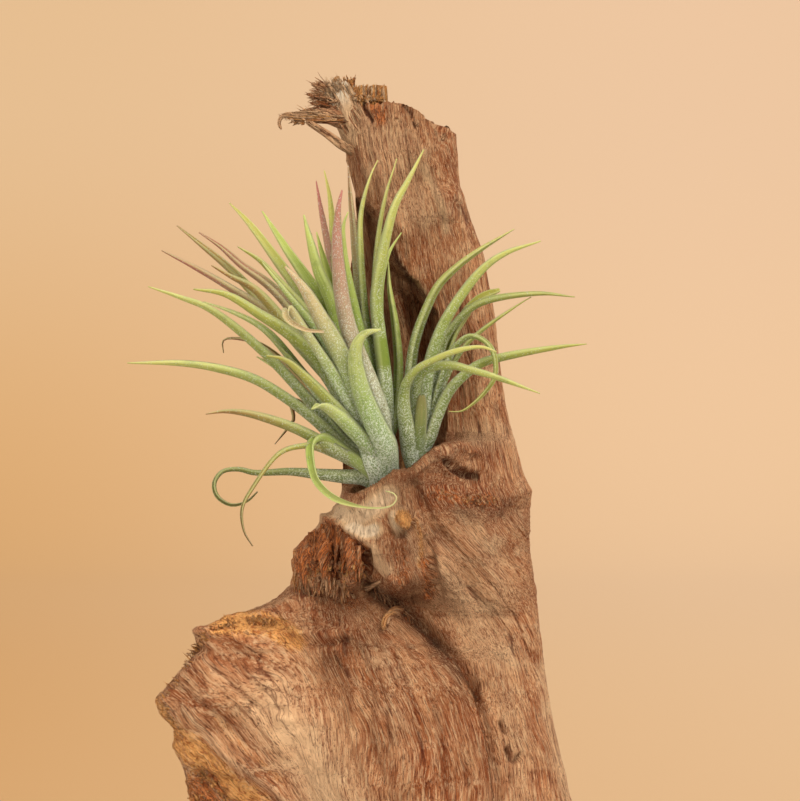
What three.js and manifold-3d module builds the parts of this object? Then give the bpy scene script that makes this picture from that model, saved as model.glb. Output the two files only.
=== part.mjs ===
// An air plant growing from a pit in a piece of driftwood, at life size.
// Millimetres, +Z up, the viewer on -Y. The origin is at the foot of the wood,
// on the surface it stands on, below the plant's own base.
//
// The wood is one lofted body: level rings between its left and right edges,
// whose front and back follow named bulges, grooves and hollows. The plant is
// two rosettes of channelled leaves, each fused to its own short stock.

import * as THREE from "three";
import { mergeVertices } from "three/addons/utils/BufferGeometryUtils.js";
import Module from "manifold-3d";

const wasm = await Module();
wasm.setup();

const { clamp, lerp, smoothstep } = THREE.MathUtils;

// ---------------------------------------------------------------- materials

const DRIFTWOOD = new THREE.MeshStandardMaterial({ color: 0xa8714a, roughness: 0.85, metalness: 0 });
const SILVER_LEAF = new THREE.MeshStandardMaterial({ color: 0xa5ab78, roughness: 0.7, metalness: 0 });
const GREEN_LEAF = new THREE.MeshStandardMaterial({ color: 0x9aa552, roughness: 0.7, metalness: 0 });

// --------------------------------------------------- driftwood: its outline

// The left and right edges seen from the front, as [height, x].
const LEFT_EDGE = [
  [0, -54], [18, -55.7], [28, -57.7], [34, -60.6], [39, -60], [43, -64.4], [47, -65.6], [52, -61.3],
  [56, -58], [61, -53.6], [66.5, -54.6], [68.5, -49.4], [71, -45], [72.5, -37.4], [74.5, -31.6],
  [78, -27], [84, -26.4], [90, -26], [95, -21], [99, -16.8], [105, -12.6], [113, -12], [130, -12.2],
  [160, -11], [184, -8], [192, -8.6], [201, -11], [206, -11.4], [211, -13], [216, -15],
];
const RIGHT_EDGE = [
  [0, 57], [18, 53.4], [30, 50.3], [43, 47.7], [55, 45.7], [74, 43.4], [90, 41.7], [101.5, 41.4],
  [106.7, 42.3], [111, 39.7], [121, 37], [132.6, 34.3], [149.7, 32], [164, 30], [174, 28],
  [184, 24.3], [195.4, 21.4], [204, 21], [216, 20.4],
];
// The broken top seen from the front, as [x, height].
const TOP_EDGE = [
  [-16, 215.5], [-9, 216.5], [0, 217], [2.3, 216.6], [5.4, 216.3], [8.3, 215.4], [11.7, 212.4],
  [15, 210.4], [17.7, 210.8], [21, 207.5],
];
const TOP_START = 190; // above this height the rings tilt to meet the broken top
const TOP_RING = 216; // the height of the last ring before it is tilted

// ----------------------------------------------------- driftwood: its depth

// Each table is [height, value]; reach is how far a bulge stands out in front.
const SPINE = [[0, -2], [75, 0], [110, 2], [216, 2]];
const BACK_REACH = [[0, 26], [60, 22], [100, 19], [160, 15], [200, 12.5], [216, 11.5]];
const TRUNK_CENTRE = [
  [0, 44], [30, 40], [55, 35], [75, 28], [100, 22], [120, 18], [150, 14], [180, 9], [216, 3],
];
const TRUNK_WIDTH = [[0, 17], [55, 16], [75, 19], [100, 24], [120, 25], [180, 20], [216, 19]];
const TRUNK_REACH = [[0, 22], [40, 19], [75, 19], [100, 18], [120, 14], [150, 12.5], [180, 12], [216, 11]];
const FAN_REACH = [[0, 33], [30, 31], [55, 28.5], [70, 25], [79, 21], [90, 10], [100, 0]];
const FAN_EDGE_REACH = 0.42; // how much of the fan's reach is left at its thin outer edge
const FAN_RISE = 0.8; // where it stands out in full, as a share of the way to the crevice
const FAN_CREST = 0.75; // where it starts to fall away again
const FAN_FALL = 0.6; // how far beyond that it ends
// The ledge under the plant, as [x, value].
const RIM_HEIGHT = [
  [-28, 101], [-12.3, 105.5], [-2, 109.5], [2.3, 113], [8.6, 113.5], [15, 119], [24, 122], [44, 121],
];
const LEDGE_REACH = [
  [-28, 12], [-20, 22.5], [-10, 31], [0, 35], [10, 34], [20, 29], [30, 21], [38, 10], [44, 2],
];
const LEDGE_FOOT = [[-28, 76], [-14, 79], [0, 77], [10, 80], [25, 86], [44, 88]];
const RIM_ROUND = [-1.5, 4.5]; // over which heights, from the rim, the ledge's top rounds back
const FOOT_ROUND = 5; // how far above its foot the ledge stands out in full
const LEDGE_FADE = [[-28, 8], [0, 10], [8, 10], [18, 34], [44, 40]]; // how far below its foot it fades out

// The hollow behind the plant: its right edge as [height, x], and its floor's reach.
const HOLLOW_EDGE = [
  [112, 15], [125, 18], [145, 17.5], [157, 15.5], [161, 12], [166, 10], [168, 7], [173, 4],
  [178, 2.3], [186, -1.7], [190, -6], [192, -14],
];
const HOLLOW_REACH = -4.5;
const HOLLOW_FOOT = 107; // the hollow starts above this height
const HOLLOW_LIP = 3.2; // the width over which the trunk's face turns into the hollow

// The pit that holds the plant's base.
const PIT_CENTRE = new THREE.Vector3(1.5, -14.5, 115);
const PIT_RADIUS = new THREE.Vector3(17, 10.5, 12);

// The crevice between the fan and the trunk, as [height, x], and the seam that
// the rings' points follow: the crevice, and a line through the ledge above it.
const CREVICE = [[0, 32], [18, 31], [35, 28.6], [49, 25.4], [59, 19], [66.3, 11], [74.3, 3.4], [79, -3]];
const SEAM_LINE = [...CREVICE, [100, 12.4], [113, 13.8]];

// Ridges (+) and grooves (-) of the front: a path of [x, height], the half
// width over which each fades, and how far it stands out.
const RELIEF = [
  { path: [[14, 63.6], [8, 69.4], [3.4, 74.3], [-3, 79]], width: 3, reach: -9 }, // crevice
  { path: [[25.4, 49], [19, 59], [17.6, 60.3]], width: 2.7, reach: -5 }, // its middle
  { path: [[32, 0], [31, 18], [28.6, 35], [26.4, 45]], width: 2.4, reach: -3 }, // its shallow foot
  { path: [[5.7, 98.6], [5.9, 98.5]], width: 2.8, reach: 5 }, // knob
  { path: [[4.6, 92], [5, 86], [4.8, 82]], width: 4.6, reach: 4.6 }, // pink bulge
  { path: [[-2, 84.5], [0, 80.5], [4, 77.6], [9, 76.5], [12, 79]], width: 1.6, reach: -2.2 }, // its crease
  { path: [[8.3, 108], [12.6, 98.5], [11.9, 88.6], [13.4, 79]], width: 2.2, reach: -2.6 }, // fold beside it
  { path: [[-12, 104], [-4, 103], [-1, 97]], width: 4.5, reach: 2.5 }, // pale skin
  { path: [[-13, 91], [-12.6, 82]], width: 1.9, reach: -5 }, // crack in the torn face
  { path: [[-4.6, 87], [-4.9, 80]], width: 2, reach: -5 }, // crack beside the bulge
  { path: [[-21, 92], [-20, 82]], width: 2, reach: -4 }, // crack at the left
  { path: [[-17, 86], [-17.2, 84]], width: 2.4, reach: -4 }, // dark hole
  { path: [[18.6, 114.6], [21, 112.6], [25, 110.6]], width: 1.6, reach: -2.6 }, // slit in the ledge
  { path: [[18.5, 113], [18.7, 112.8]], width: 1.7, reach: 3 }, // bud beside the slit
  { path: [[14, 107], [22, 104], [31, 103]], width: 4, reach: 2.5 }, // rough rust patch
  { path: [[40, 107], [38, 106]], width: 3.5, reach: 4 }, // bump on the right edge
  { path: [[33, 99], [41, 101]], width: 3, reach: -2.5 }, // recess under the bump
  { path: [[4.4, 161], [5.6, 150], [6.6, 130]], width: 3, reach: 7 }, // rib in the hollow
  { path: [[13.6, 201], [16.2, 192], [18.4, 186]], width: 2.2, reach: 1.8 }, // ridge on the trunk
  { path: [[20.5, 188], [23, 184]], width: 1.8, reach: -2.2 }, // long knot
  { path: [[31.5, 131.5], [32.4, 127.5]], width: 1.8, reach: -1.8 }, // dark mark
  { path: [[-17, 55], [-14, 50]], width: 9, reach: -4 }, // soft hollow in the fan
  { path: [[-1, 70], [2, 48], [8, 24], [10, 0]], width: 7, reach: 3.5 }, // fan's rounded shoulder
  { path: [[-10, 68], [-32, 36], [-44, 8]], width: 5, reach: 2 }, // swell along the fan's grain
  { path: [[-16, 70], [-46, 52]], width: 3.4, reach: -2 }, // trough below the fan's torn top
  { path: [[31, 80], [35, 50], [40, 20]], width: 5, reach: 2 }, // trunk's lower swell
  { path: [[24, 170], [27, 140], [32, 112]], width: 4, reach: 1.6 }, // trunk's upper swell
  { path: [[15, 100], [24, 92], [30, 84], [34, 74]], width: 3.2, reach: 1.4 }, // fold across the trunk
  { path: [[14, 88], [20, 78], [27, 66]], width: 2.4, reach: 1.5 }, // fold below it
  { path: [[-57, 45], [-46.3, 32.6], [-39, 27.4], [-27.4, 19]], width: 1.8, reach: 1.6 }, // torn edge
  { path: [[-55, 30], [-44, 20], [-34, 8]], width: 5, reach: -2.6 }, // torn foot of the fan, set back
  { path: [[-46, 69], [-38, 68.5], [-30, 67]], width: 2.6, reach: -2 }, // torn top of the fan, set back
  { path: [[-24, 78], [-16, 77]], width: 2.2, reach: -1.6 }, // undercut of the torn faces
];

const RINGS_PER_STRETCH = [[0, 60, 13], [60, 100, 16], [100, 124, 12], [124, 190, 11], [190, 216, 5]];
const RING_STEPS = 23; // points along the front of each ring, and again along its back
const BACK_SOFTNESS = 14; // how far up and down the edges are averaged round the back
// The share of the ring's points left of the crevice, so that they follow it, as [height, share].
const SEAM_SHARE = [[0, 0.74], [50, 0.66], [79, 0.42], [100, 0.5], [216, 0.5]];
const EDGE_FULLNESS = 2.6; // how squarely the front turns round to the back
const TRUNK_SPREAD = 1.25; // how far the trunk's hump runs past its named width
const ROUNDNESS = 0.8; // how quickly the fan rises from its thin edge
const BLEND = 5; // how sharply trunk, fan and ledge take over from each other
// Low crossed swells of the whole front: how fast each turns across and up, in radians
// per millimetre, and where it starts.
const SWELLS = [[0.31, 0.17, 1.2], [-0.22, 0.36, 0], [0.12, -0.28, 2]];
const SWELL_HEIGHT = 0.55;

// ------------------------------------------------ driftwood: its broken top

const STRAND_RAG = 0.14; // how ragged a strand's corners are, as a part of its width

// Tapered strands fused to the top: a path of [x, y, height] and the two end widths.
const TOP_STRANDS = [
  {
    path: [[2, 2, 192], [-3, -1, 203], [-8, -2, 210], [-11, -3, 216], [-13.4, -3, 221.6]],
    widths: [15, 7.2], flat: 0.8, sides: 9,
  },
  {
    path: [
      [-11, -4, 212.6], [-16, -6, 213.4], [-21, -7, 213.6], [-26, -8, 213.6], [-29.2, -8, 212.2],
      [-29.4, -8, 209.8],
    ],
    widths: [5.8, 1.2], flat: 0.5, sides: 5,
  },
  { path: [[-12, 0, 217.6], [-17, 1, 219], [-22.6, 2, 220]], widths: [4.4, 1.4], flat: 0.6, sides: 5 },
  {
    path: [[-12, -2, 215], [-17, -3, 215.2], [-22, -4, 214.9], [-25.8, -5, 214]],
    widths: [3.2, 1], flat: 0.6, sides: 5,
  },
  { path: [[-11, 3, 216], [-16.5, 4, 216.8], [-21.4, 5, 217.6]], widths: [4.4, 1.6], flat: 0.5, sides: 5 },
  { path: [[-12, 1, 219.4], [-16.6, 2, 221.4], [-21.2, 3, 222.8]], widths: [3.6, 1.2], flat: 0.6, sides: 5 },
  {
    path: [[-9, -3, 203.6], [-12.5, -7, 205.4], [-16.6, -8, 208.4], [-22.4, -8, 212]],
    widths: [3, 1.8], flat: 0.4, sides: 5,
  },
  { path: [[-13, 2, 219], [-14, 4, 223.4], [-13.4, 5, 225.2]], widths: [4.4, 1.4], flat: 0.7, sides: 5 },
  { path: [[-6.4, 0, 212], [-6.6, -1, 218], [-7, -1, 223.6]], widths: [7, 4.4], flat: 0.8, sides: 6 },
  { path: [[-2, 0, 212], [-1.8, -1, 218], [-1.6, -1, 222.8]], widths: [7, 4.6], flat: 0.8, sides: 6 },
  { path: [[-7, 8, 208], [-8.6, 8.6, 220.6]], widths: [11, 2.6], flat: 0.4, sides: 6 },
  { path: [[4, 7, 206], [3, 8, 216.6]], widths: [12, 3.4], flat: 0.42, sides: 6 },
  { path: [[12, 5, 203], [12.4, 6, 212.4]], widths: [10, 3], flat: 0.4, sides: 6 },
];
// Torn fibres and stubs under the ledge: a path of [x, clear, height], where
// clear is how far the strand's middle stands out from the wood's face.
const LEDGE_STRANDS = [
  { path: [[-8.6, -3, 95], [-9.2, -0.3, 89], [-8.8, 0.9, 80.5]], widths: [6.4, 2], flat: 0.5, sides: 6 },
  { path: [[-16, -3, 94], [-17, -0.3, 88], [-16, 0.9, 79.5]], widths: [5.8, 1.8], flat: 0.5, sides: 6 },
  { path: [[-20.5, -3, 92], [-22.6, -0.3, 87], [-22.4, 0.7, 79.5]], widths: [4.6, 1.8], flat: 0.6, sides: 6 },
  { path: [[-10, -1, 82], [-6.8, 2, 78.6], [-2, 3, 80.6]], widths: [3, 1.2], flat: 0.6, sides: 5 },
  { path: [[4, -2, 72], [0.3, 2.6, 71], [-1.4, 3.4, 66.4]], widths: [5.4, 2.6], flat: 0.7, sides: 6 },
];

// --------------------------------------------------------------- rosettes

// The blade's width along a leaf, as a part of its named width: a full leaf, a short
// one with a broken tip, and one whose outer part has dried or curled thin.
const FULL_TAPER = [
  [0, 1.15], [0.12, 1.2], [0.3, 1.1], [0.5, 0.97], [0.7, 0.8], [0.85, 0.55], [0.95, 0.26], [1, 0.1],
];
const BLUNT_TAPER = [[0, 1], [0.3, 1], [0.8, 0.9], [0.95, 0.7], [1, 0.4]];
const SLIM_TAPER = [[0, 1.1], [0.12, 1.15], [0.3, 0.9], [0.45, 0.62], [0.6, 0.42], [0.8, 0.34], [1, 0.1]];

// Leaves of the main rosette. width is the widest, in the lower third; reach
// is the y of root, middle and tip; path is [x, height] from root to tip.
const MAIN_LEAVES = [
  { width: 4.2, reach: [-18, -27, -32], path: [
    [-2, 112], [-11, 118.6], [-19.7, 127], [-28.6, 133.7], [-37, 138.6], [-47.7, 141.7],
    [-58, 143], [-72.6, 143]
  ] },
  { width: 4.2, reach: [-17, -22, -20], path: [
    [-5.7, 116], [-19, 130], [-33.7, 145.7], [-49.4, 158.3], [-58, 161.7], [-67, 164.7]
  ] },
  { width: 3.2, reach: [-13, -8, -2], path: [
    [-6, 117], [-15.7, 129.7], [-24.3, 141], [-32, 150.4], [-36.3, 154], [-43, 157.4],
    [-51.7, 160.6]
  ] },
  { width: 4.6, reach: [-20, -30, -30], path: [
    [-3, 117], [-6.6, 125.4], [-13, 135], [-19, 144], [-27, 151], [-35.4, 156.6], [-45, 162.3],
    [-54, 163.8]
  ] },
  { width: 3.9, reach: [-16, -18, -14], path: [
    [-6, 122], [-13.7, 137.7], [-19.7, 145.7], [-28.6, 154.3], [-46, 165.7], [-54.7, 170.6],
    [-63.4, 175]
  ] },
  { width: 3.8, reach: [-12, -6, 2], path: [
    [-6, 124], [-15.7, 139.7], [-27, 151], [-42.6, 168.3], [-54, 178], [-59.5, 182.4]
  ] },
  { width: 4, reach: [-13, -10, -8], path: [
    [-8, 130], [-21.4, 151], [-28.6, 160.6], [-33.7, 165.7], [-41, 171], [-47, 176.3], [-53, 180.3]
  ] },
  { width: 4.6, reach: [-18, -24, -26], path: [
    [-8, 126], [-18.6, 142.6], [-27, 152.6], [-37, 164], [-43.4, 167.4], [-49, 170.6]
  ] },
  { width: 3.8, reach: [-10, -2, 8], path: [
    [-8, 132], [-17, 152.6], [-29.4, 170], [-39, 183], [-44.6, 189]
  ] },
  { width: 3.8, reach: [-18, -22, -22], path: [
    [-7, 130], [-14.3, 147], [-21.4, 156.3], [-31, 167.4], [-35.4, 172], [-41.7, 176]
  ] },
  { width: 2.6, reach: [-20, -26, -28], path: [[-8, 134], [-20, 153], [-28, 163], [-34.6, 171.4]] },
  { width: 4, reach: [-15, -14, -10], path: [
    [-7, 134], [-14.3, 154], [-19.7, 163], [-27.7, 174.6], [-35, 186.3]
  ] },
  { width: 6.3, reach: [-20, -34, -42], path: [
    [-2.5, 115], [-5, 124], [-8.3, 134.3], [-13, 145.7], [-18, 155], [-23, 164], [-28, 170]
  ] },
  { width: 6.6, reach: [-21, -38, -47], taper: SLIM_TAPER, path: [
    [-3, 114], [-6.6, 125.4], [-11, 132.6], [-16.3, 142], [-22, 151], [-27.2, 158.4],
    [-27.4, 155.6], [-22.3, 152.3], [-17, 151.7]
  ] },
  { width: 5.1, reach: [-17, -20, -20], path: [
    [-5, 128], [-10, 142.6], [-15.4, 160.6], [-19, 169], [-21.4, 178], [-23, 185]
  ] },
  { width: 1.8, reach: [-14, -12, -10], path: [[-8, 140], [-15, 160], [-19, 171], [-21, 180]] },
  { width: 3.4, reach: [-15, -16, -16], path: [[-6, 136], [-14.3, 162.6], [-18.3, 176], [-19.4, 180.3]] },
  { width: 3.1, reach: [-12, -9, -6], path: [
    [-4, 134], [-12.6, 161], [-15.2, 172], [-18.3, 187.4], [-19.6, 195]
  ] },
  { width: 3, reach: [-12, -7, -5], path: [
    [-5, 138], [-13.2, 167], [-14.6, 180], [-15.7, 190.6], [-17.3, 198]
  ] },
  { width: 5.3, reach: [-20, -33, -34], path: [
    [-1, 116], [-1, 127], [-3.7, 135.4], [-10.6, 154.3], [-13.3, 173.7], [-13, 187], [-12, 191.7]
  ] },
  { width: 3.4, reach: [-18, -26, -28], path: [
    [-3, 135], [-7.7, 155.4], [-11.3, 173.4], [-11.5, 182.3], [-10.3, 185.7]
  ] },
  { width: 3, reach: [-14, -15, -17], path: [
    [-3, 140], [-7, 164], [-9, 183.7], [-10, 193.7], [-10.4, 199]
  ] },
  { width: 2.9, reach: [-16, -19, -18], path: [
    [-1.5, 135], [-5, 152.6], [-6.8, 173.4], [-6.7, 186], [-4, 196.3], [-2, 200.6]
  ] },
  { width: 2.7, reach: [-14, -17, -18], path: [
    [-0.5, 130], [-2, 149.7], [-3, 164], [-1.6, 181], [0.3, 191], [3.4, 201]
  ] },
  { width: 4.7, reach: [-18, -25, -24], path: [
    [0.2, 116], [0.4, 135.4], [-2.3, 161.4], [-1.4, 169], [0.3, 178], [3, 187.7], [6.6, 194.6],
    [11, 203.4]
  ] },
  { width: 3, reach: [-16, -20, -20], path: [
    [-1, 140], [-1.4, 155.4], [-1, 165.7], [1.3, 174.6], [4.7, 180]
  ] },
  { width: 3.4, reach: [-11, -9, -8], path: [[2, 124], [4, 140.3], [3, 154.3], [1.3, 165], [1, 172]] },
  { width: 6.2, reach: [-20, -36, -42], path: [
    [0.3, 113], [0, 119], [-3, 125.4], [-6.6, 134.3], [-8.3, 142], [-8, 147.4], [-5.7, 151],
    [-1, 152.3]
  ] },
  { width: 5.2, reach: [-19, -32, -44], path: [
    [0.3, 114], [-4, 118.6], [-9, 123.7], [-14.6, 129], [-18, 131], [-20.4, 130]
  ] },
  { width: 3.8, reach: [-19, -34, -40], path: [
    [-3, 116], [-8.3, 123.7], [-13, 129], [-23, 139.4], [-28.6, 144], [-33.3, 145]
  ] },
  { width: 3.4, reach: [-18, -20, -14], path: [
    [-4.3, 116], [-11.4, 121], [-19, 131], [-27, 139], [-33.7, 147.4]
  ] },
  { width: 4, reach: [-18, -32, -38], path: [
    [-5.7, 113.6], [-13, 117.7], [-25, 124.3], [-38, 128.6], [-45, 129.4], [-50.3, 128.6]
  ] },
  { width: 3.8, reach: [-17, -36, -44], taper: SLIM_TAPER, path: [
    [-5.7, 113], [-14.6, 117.6], [-19.7, 119.4], [-23, 119.7], [-29.4, 117.7], [-37, 108],
    [-40, 102], [-39.4, 95.7], [-37, 91.6]
  ] },
  { width: 4.6, reach: [-15, -22, -27], taper: SLIM_TAPER, path: [
    [-5.7, 111.6], [-11, 111.6], [-19, 111.6], [-27, 112.3], [-37, 112], [-41.6, 113],
    [-46, 112.3], [-48.2, 109], [-47.3, 105.4], [-43.4, 103], [-39, 104], [-36, 106.7]
  ] },
  { width: 3.9, reach: [-19, -41, -43], taper: SLIM_TAPER, path: [
    [-4.3, 112], [-11.4, 117.6], [-17.7, 122], [-20.6, 120.3], [-20.6, 115], [-19, 109.7],
    [-14.6, 105.4], [-8.3, 103], [-2.3, 102.3], [2, 103], [3.4, 105], [2.6, 106.3], [0.3, 107]
  ] },
  { width: 2.4, reach: [-12, -6, -4], path: [
    [-7, 118], [-20, 134], [-32, 146], [-38, 149.3], [-45.4, 150], [-46.3, 149], [-46, 146]
  ] },
  { width: 2.2, reach: [-12, -8, -10], path: [
    [-6, 115], [-18, 127], [-26.6, 132.6], [-26, 127], [-27.6, 124.6], [-31.3, 120]
  ] },
];

const SIDE_LEAVES = [
  { width: 5.2, reach: [-18, -33, -38], taper: SLIM_TAPER, path: [
    [7.4, 117], [6.2, 123.7], [5.2, 131], [6, 137], [9, 141], [15, 144.3], [21.4, 146.6],
    [27.4, 147.4], [31.4, 146]
  ] },
  { width: 3.2, reach: [-19, -31, -36], path: [
    [8.6, 118], [9, 132.6], [9.2, 137.7], [11.7, 141], [18, 142.3], [24, 141], [31, 139],
    [43.7, 134.4]
  ] },
  { width: 4, reach: [-18, -24, -26], taper: BLUNT_TAPER, path: [[9.4, 117], [10, 127], [10.4, 134]] },
  { width: 3.7, reach: [-17, -24, -28], path: [
    [11, 118], [13, 122], [15, 128], [18.3, 135], [22.3, 139.4], [27.4, 143], [34.6, 145],
    [50.3, 147.7], [57, 148.4]
  ] },
  { width: 3.4, reach: [-16, -20, -22], path: [
    [7, 120], [6.4, 128], [7, 140.3], [8.3, 149], [11, 157], [15, 165], [20.6, 170.6], [26.6, 175],
    [36.6, 181]
  ] },
  { width: 3.5, reach: [-18, -25, -30], path: [
    [10, 120], [11, 126], [12.6, 140.3], [14.3, 147.4], [18, 156], [27.4, 169], [33.7, 173.7],
    [44, 177.4]
  ] },
  { width: 3.2, reach: [-16, -21, -24], path: [
    [12, 125], [14, 138], [17, 150], [20.6, 155], [25, 159], [30, 161], [44, 162.7], [53.7, 161.7]
  ] },
  { width: 3, reach: [-15, -17, -18], taper: BLUNT_TAPER, path: [
    [13, 128], [20, 152], [26.6, 161], [32.6, 163.7]
  ] },
  { width: 2.2, reach: [-17, -21, -22], path: [
    [12, 122], [17, 138], [22.3, 147.4], [27.4, 152.3], [38, 159.7], [41.4, 161.7]
  ] },
  { width: 2.2, reach: [-18, -30, -30], path: [
    [12, 122], [16, 138], [19, 145.7], [21.4, 149], [24.4, 150.7], [28.3, 149], [30.6, 145.7],
    [31, 139.4], [28.3, 135], [25, 131.7], [21.4, 129.4], [18, 129.4]
  ] },
  { width: 2.6, reach: [-14, -15.5, -16], path: [
    [11.4, 122], [13.4, 132.6], [15.7, 142.6], [20, 151], [24.3, 157]
  ] },
];

const MAIN_STOCK = {
  foot: new THREE.Vector3(0.6, -14.5, 103.9),
  head: new THREE.Vector3(-6, -16.5, 130),
  radius: 4.6,
};
const SIDE_STOCK = {
  foot: new THREE.Vector3(8.8, -14.5, 105.3),
  head: new THREE.Vector3(11, -17, 126),
  radius: 2.9,
};

// Leaves on the far side of the main rosette, spread by rule.
const FAR_LEAVES = {
  count: 11, seed: 7, length: [42, 60], turn: [0.62, 1.1], lift: [0.5, 1.15], width: [2.9, 3.7],
  root: [0.35, 0.85], knee: 0.45, sag: [0, 5],
};

const LEAF_STEPS_PER_MM = 0.07;
const LEAF_STEPS_PER_TURN = 13; // for a full turn of the leaf's direction
const LEAF_STEPS = [5, 24]; // fewest and most
const CHANNEL_RISE = 0.34; // the margins' rise and the back's depth, as parts of the width
const CHANNEL_DEPTH = 0.38;
const BLADE_THICKNESS = 0.28;
const BACK_HALF = 0.28; // half the width of the blade's back, between its two lower corners
const ROOT_DROP = 6; // how far below the first point of its path a leaf leaves the stock
const ROOT_SHARE = [0.12, 0.8]; // the stretch of the stock that leaves grow from
const THINNEST = 0.75;

// ------------------------------------------------------------ small helpers

function lookUp(table, key) {
  const last = table.length - 1;
  if (key <= table[0][0]) return table[0][1];
  for (let row = 1; row <= last; row += 1) {
    const [end, endValue] = table[row];
    const [start, startValue] = table[row - 1];
    if (key <= end) return lerp(startValue, endValue, (key - start) / (end - start));
  }
  return table[last][1];
}

function distanceToPath(path, x, height) {
  let nearest = Infinity;
  for (let index = 1; index < path.length; index += 1) {
    const [ax, az] = path[index - 1];
    const [bx, bz] = path[index];
    const lengthSquared = (bx - ax) ** 2 + (bz - az) ** 2;
    const along = clamp(((x - ax) * (bx - ax) + (height - az) * (bz - az)) / lengthSquared, 0, 1);
    nearest = Math.min(nearest, Math.hypot(x - lerp(ax, bx, along), height - lerp(az, bz, along)));
  }
  return nearest;
}

// Small repeatable random numbers.
function seededRandom(seed) {
  let state = seed;
  return () => {
    state = (state * 1664525 + 1013904223) % 4294967296;
    return state / 4294967296;
  };
}

// A closed geometry from rings of points, each ring counted the same way round.
function ringGeometry(rings) {
  const sides = rings[0].length;
  const positions = rings.flat().flatMap((point) => [point.x, point.y, point.z]);
  const indices = [];
  for (let ring = 0; ring + 1 < rings.length; ring += 1) {
    for (let side = 0; side < sides; side += 1) {
      const next = (side + 1) % sides;
      const [a, b] = [ring * sides + side, ring * sides + next];
      indices.push(a, b, b + sides, a, b + sides, a + sides);
    }
  }
  [0, rings.length - 1].forEach((ring, end) => {
    const centre = new THREE.Vector3();
    rings[ring].forEach((point) => centre.addScaledVector(point, 1 / sides));
    const tip = positions.length / 3;
    positions.push(centre.x, centre.y, centre.z);
    for (let side = 0; side < sides; side += 1) {
      const [a, b] = [ring * sides + side, ring * sides + ((side + 1) % sides)];
      if (end === 0) indices.push(b, a, tip);
      else indices.push(a, b, tip);
    }
  });
  const geometry = new THREE.BufferGeometry();
  geometry.setAttribute("position", new THREE.Float32BufferAttribute(positions, 3));
  geometry.setIndex(indices);
  return geometry;
}

function solidFrom(geometry) {
  const bare = geometry.clone();
  bare.deleteAttribute("normal");
  bare.deleteAttribute("uv");
  const merged = mergeVertices(bare, 1e-4);
  return new wasm.Manifold(new wasm.Mesh({
    numProp: 3,
    vertProperties: new Float32Array(merged.attributes.position.array),
    triVerts: new Uint32Array(merged.index.array),
  }));
}

// The one body of a fused solid: hollows sealed by the fusing are filled.
function wholeBody(solid) {
  return solid.decompose().reduce((largest, piece) => (piece.volume() > largest.volume() ? piece : largest));
}

function geometryFrom(solid) {
  const mesh = solid.getMesh();
  const geometry = new THREE.BufferGeometry();
  geometry.setAttribute("position", new THREE.BufferAttribute(mesh.vertProperties, 3));
  geometry.setIndex(new THREE.BufferAttribute(mesh.triVerts, 1));
  geometry.computeVertexNormals();
  return geometry;
}

// Frames carried along a curve without twist: centre, side and inward axes.
function carriedFrames(curve, steps, inward) {
  const frames = [];
  let normal = inward.clone();
  for (let step = 0; step <= steps; step += 1) {
    const along = step / steps;
    const centre = curve.getPointAt(along);
    const tangent = curve.getTangentAt(along);
    normal = normal.clone().addScaledVector(tangent, -normal.dot(tangent)).normalize();
    const side = new THREE.Vector3().crossVectors(normal, tangent);
    frames.push({ along, centre, side, normal });
  }
  return frames;
}

// ------------------------------------------------------------- driftwood

// Broad swells and troughs that run up the back, leaning as the trunk does.
function backSwell(x, height) {
  const lean = x + height * 0.22;
  const swells = 0.09 * Math.sin(lean * 0.17 + 0.8) + 0.04 * Math.sin(lean * 0.29 + height * 0.03);
  return 1 + swells + 0.04 * Math.sin(height * 0.07);
}

// A rounded hump: 1 at its centre, 0 at and past its half width.
function hump(offset, halfWidth) {
  return Math.max(0, 1 - (offset / halfWidth) ** 2) ** 0.6;
}

// How far the fan stands out, from its thin left edge to the crevice.
function fanReach(x, height) {
  const leftEdge = lookUp(LEFT_EDGE, height);
  const crevice = lookUp(CREVICE, height);
  const across = clamp((x - leftEdge) / (crevice - leftEdge), 0, FAN_CREST + FAN_FALL);
  const rise = lerp(FAN_EDGE_REACH, 1, Math.min(1, across / FAN_RISE) ** ROUNDNESS);
  const fall = Math.sqrt(Math.max(0, 1 - (Math.max(0, across - FAN_CREST) / FAN_FALL) ** 2));
  return lookUp(FAN_REACH, height) * rise * fall;
}

function ledgeReach(x, height) {
  const rim = lookUp(RIM_HEIGHT, x);
  const foot = lookUp(LEDGE_FOOT, x);
  const top = 1 - smoothstep(height, rim + RIM_ROUND[0], rim + RIM_ROUND[1]);
  const under = smoothstep(height, foot - lookUp(LEDGE_FADE, x), foot + FOOT_ROUND);
  return lookUp(LEDGE_REACH, x) * top * under;
}

function frontReach(x, height) {
  const trunkOffset = x - lookUp(TRUNK_CENTRE, height);
  const trunkHalf = lookUp(TRUNK_WIDTH, height) * TRUNK_SPREAD;
  const trunk = lookUp(TRUNK_REACH, height) * hump(trunkOffset, trunkHalf);
  const parts = [trunk, fanReach(x, height), ledgeReach(x, height)];
  let reach = parts.reduce((sum, part) => sum + Math.max(part, 0) ** BLEND, 0) ** (1 / BLEND);
  if (height > HOLLOW_FOOT) {
    const rim = lookUp(RIM_HEIGHT, x);
    const inHollow = smoothstep(lookUp(HOLLOW_EDGE, height) - x, 0, HOLLOW_LIP);
    const aboveRim = smoothstep(height, rim, rim + RIM_ROUND[1]);
    reach = lerp(reach, HOLLOW_REACH, inHollow * aboveRim);
  }
  for (const { path, width, reach: standOut } of RELIEF) {
    reach += standOut * Math.exp(-((distanceToPath(path, x, height) / width) ** 2));
  }
  for (const [across, up, start] of SWELLS) {
    reach += SWELL_HEIGHT * Math.sin(across * x + up * height + start);
  }
  return reach;
}

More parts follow.
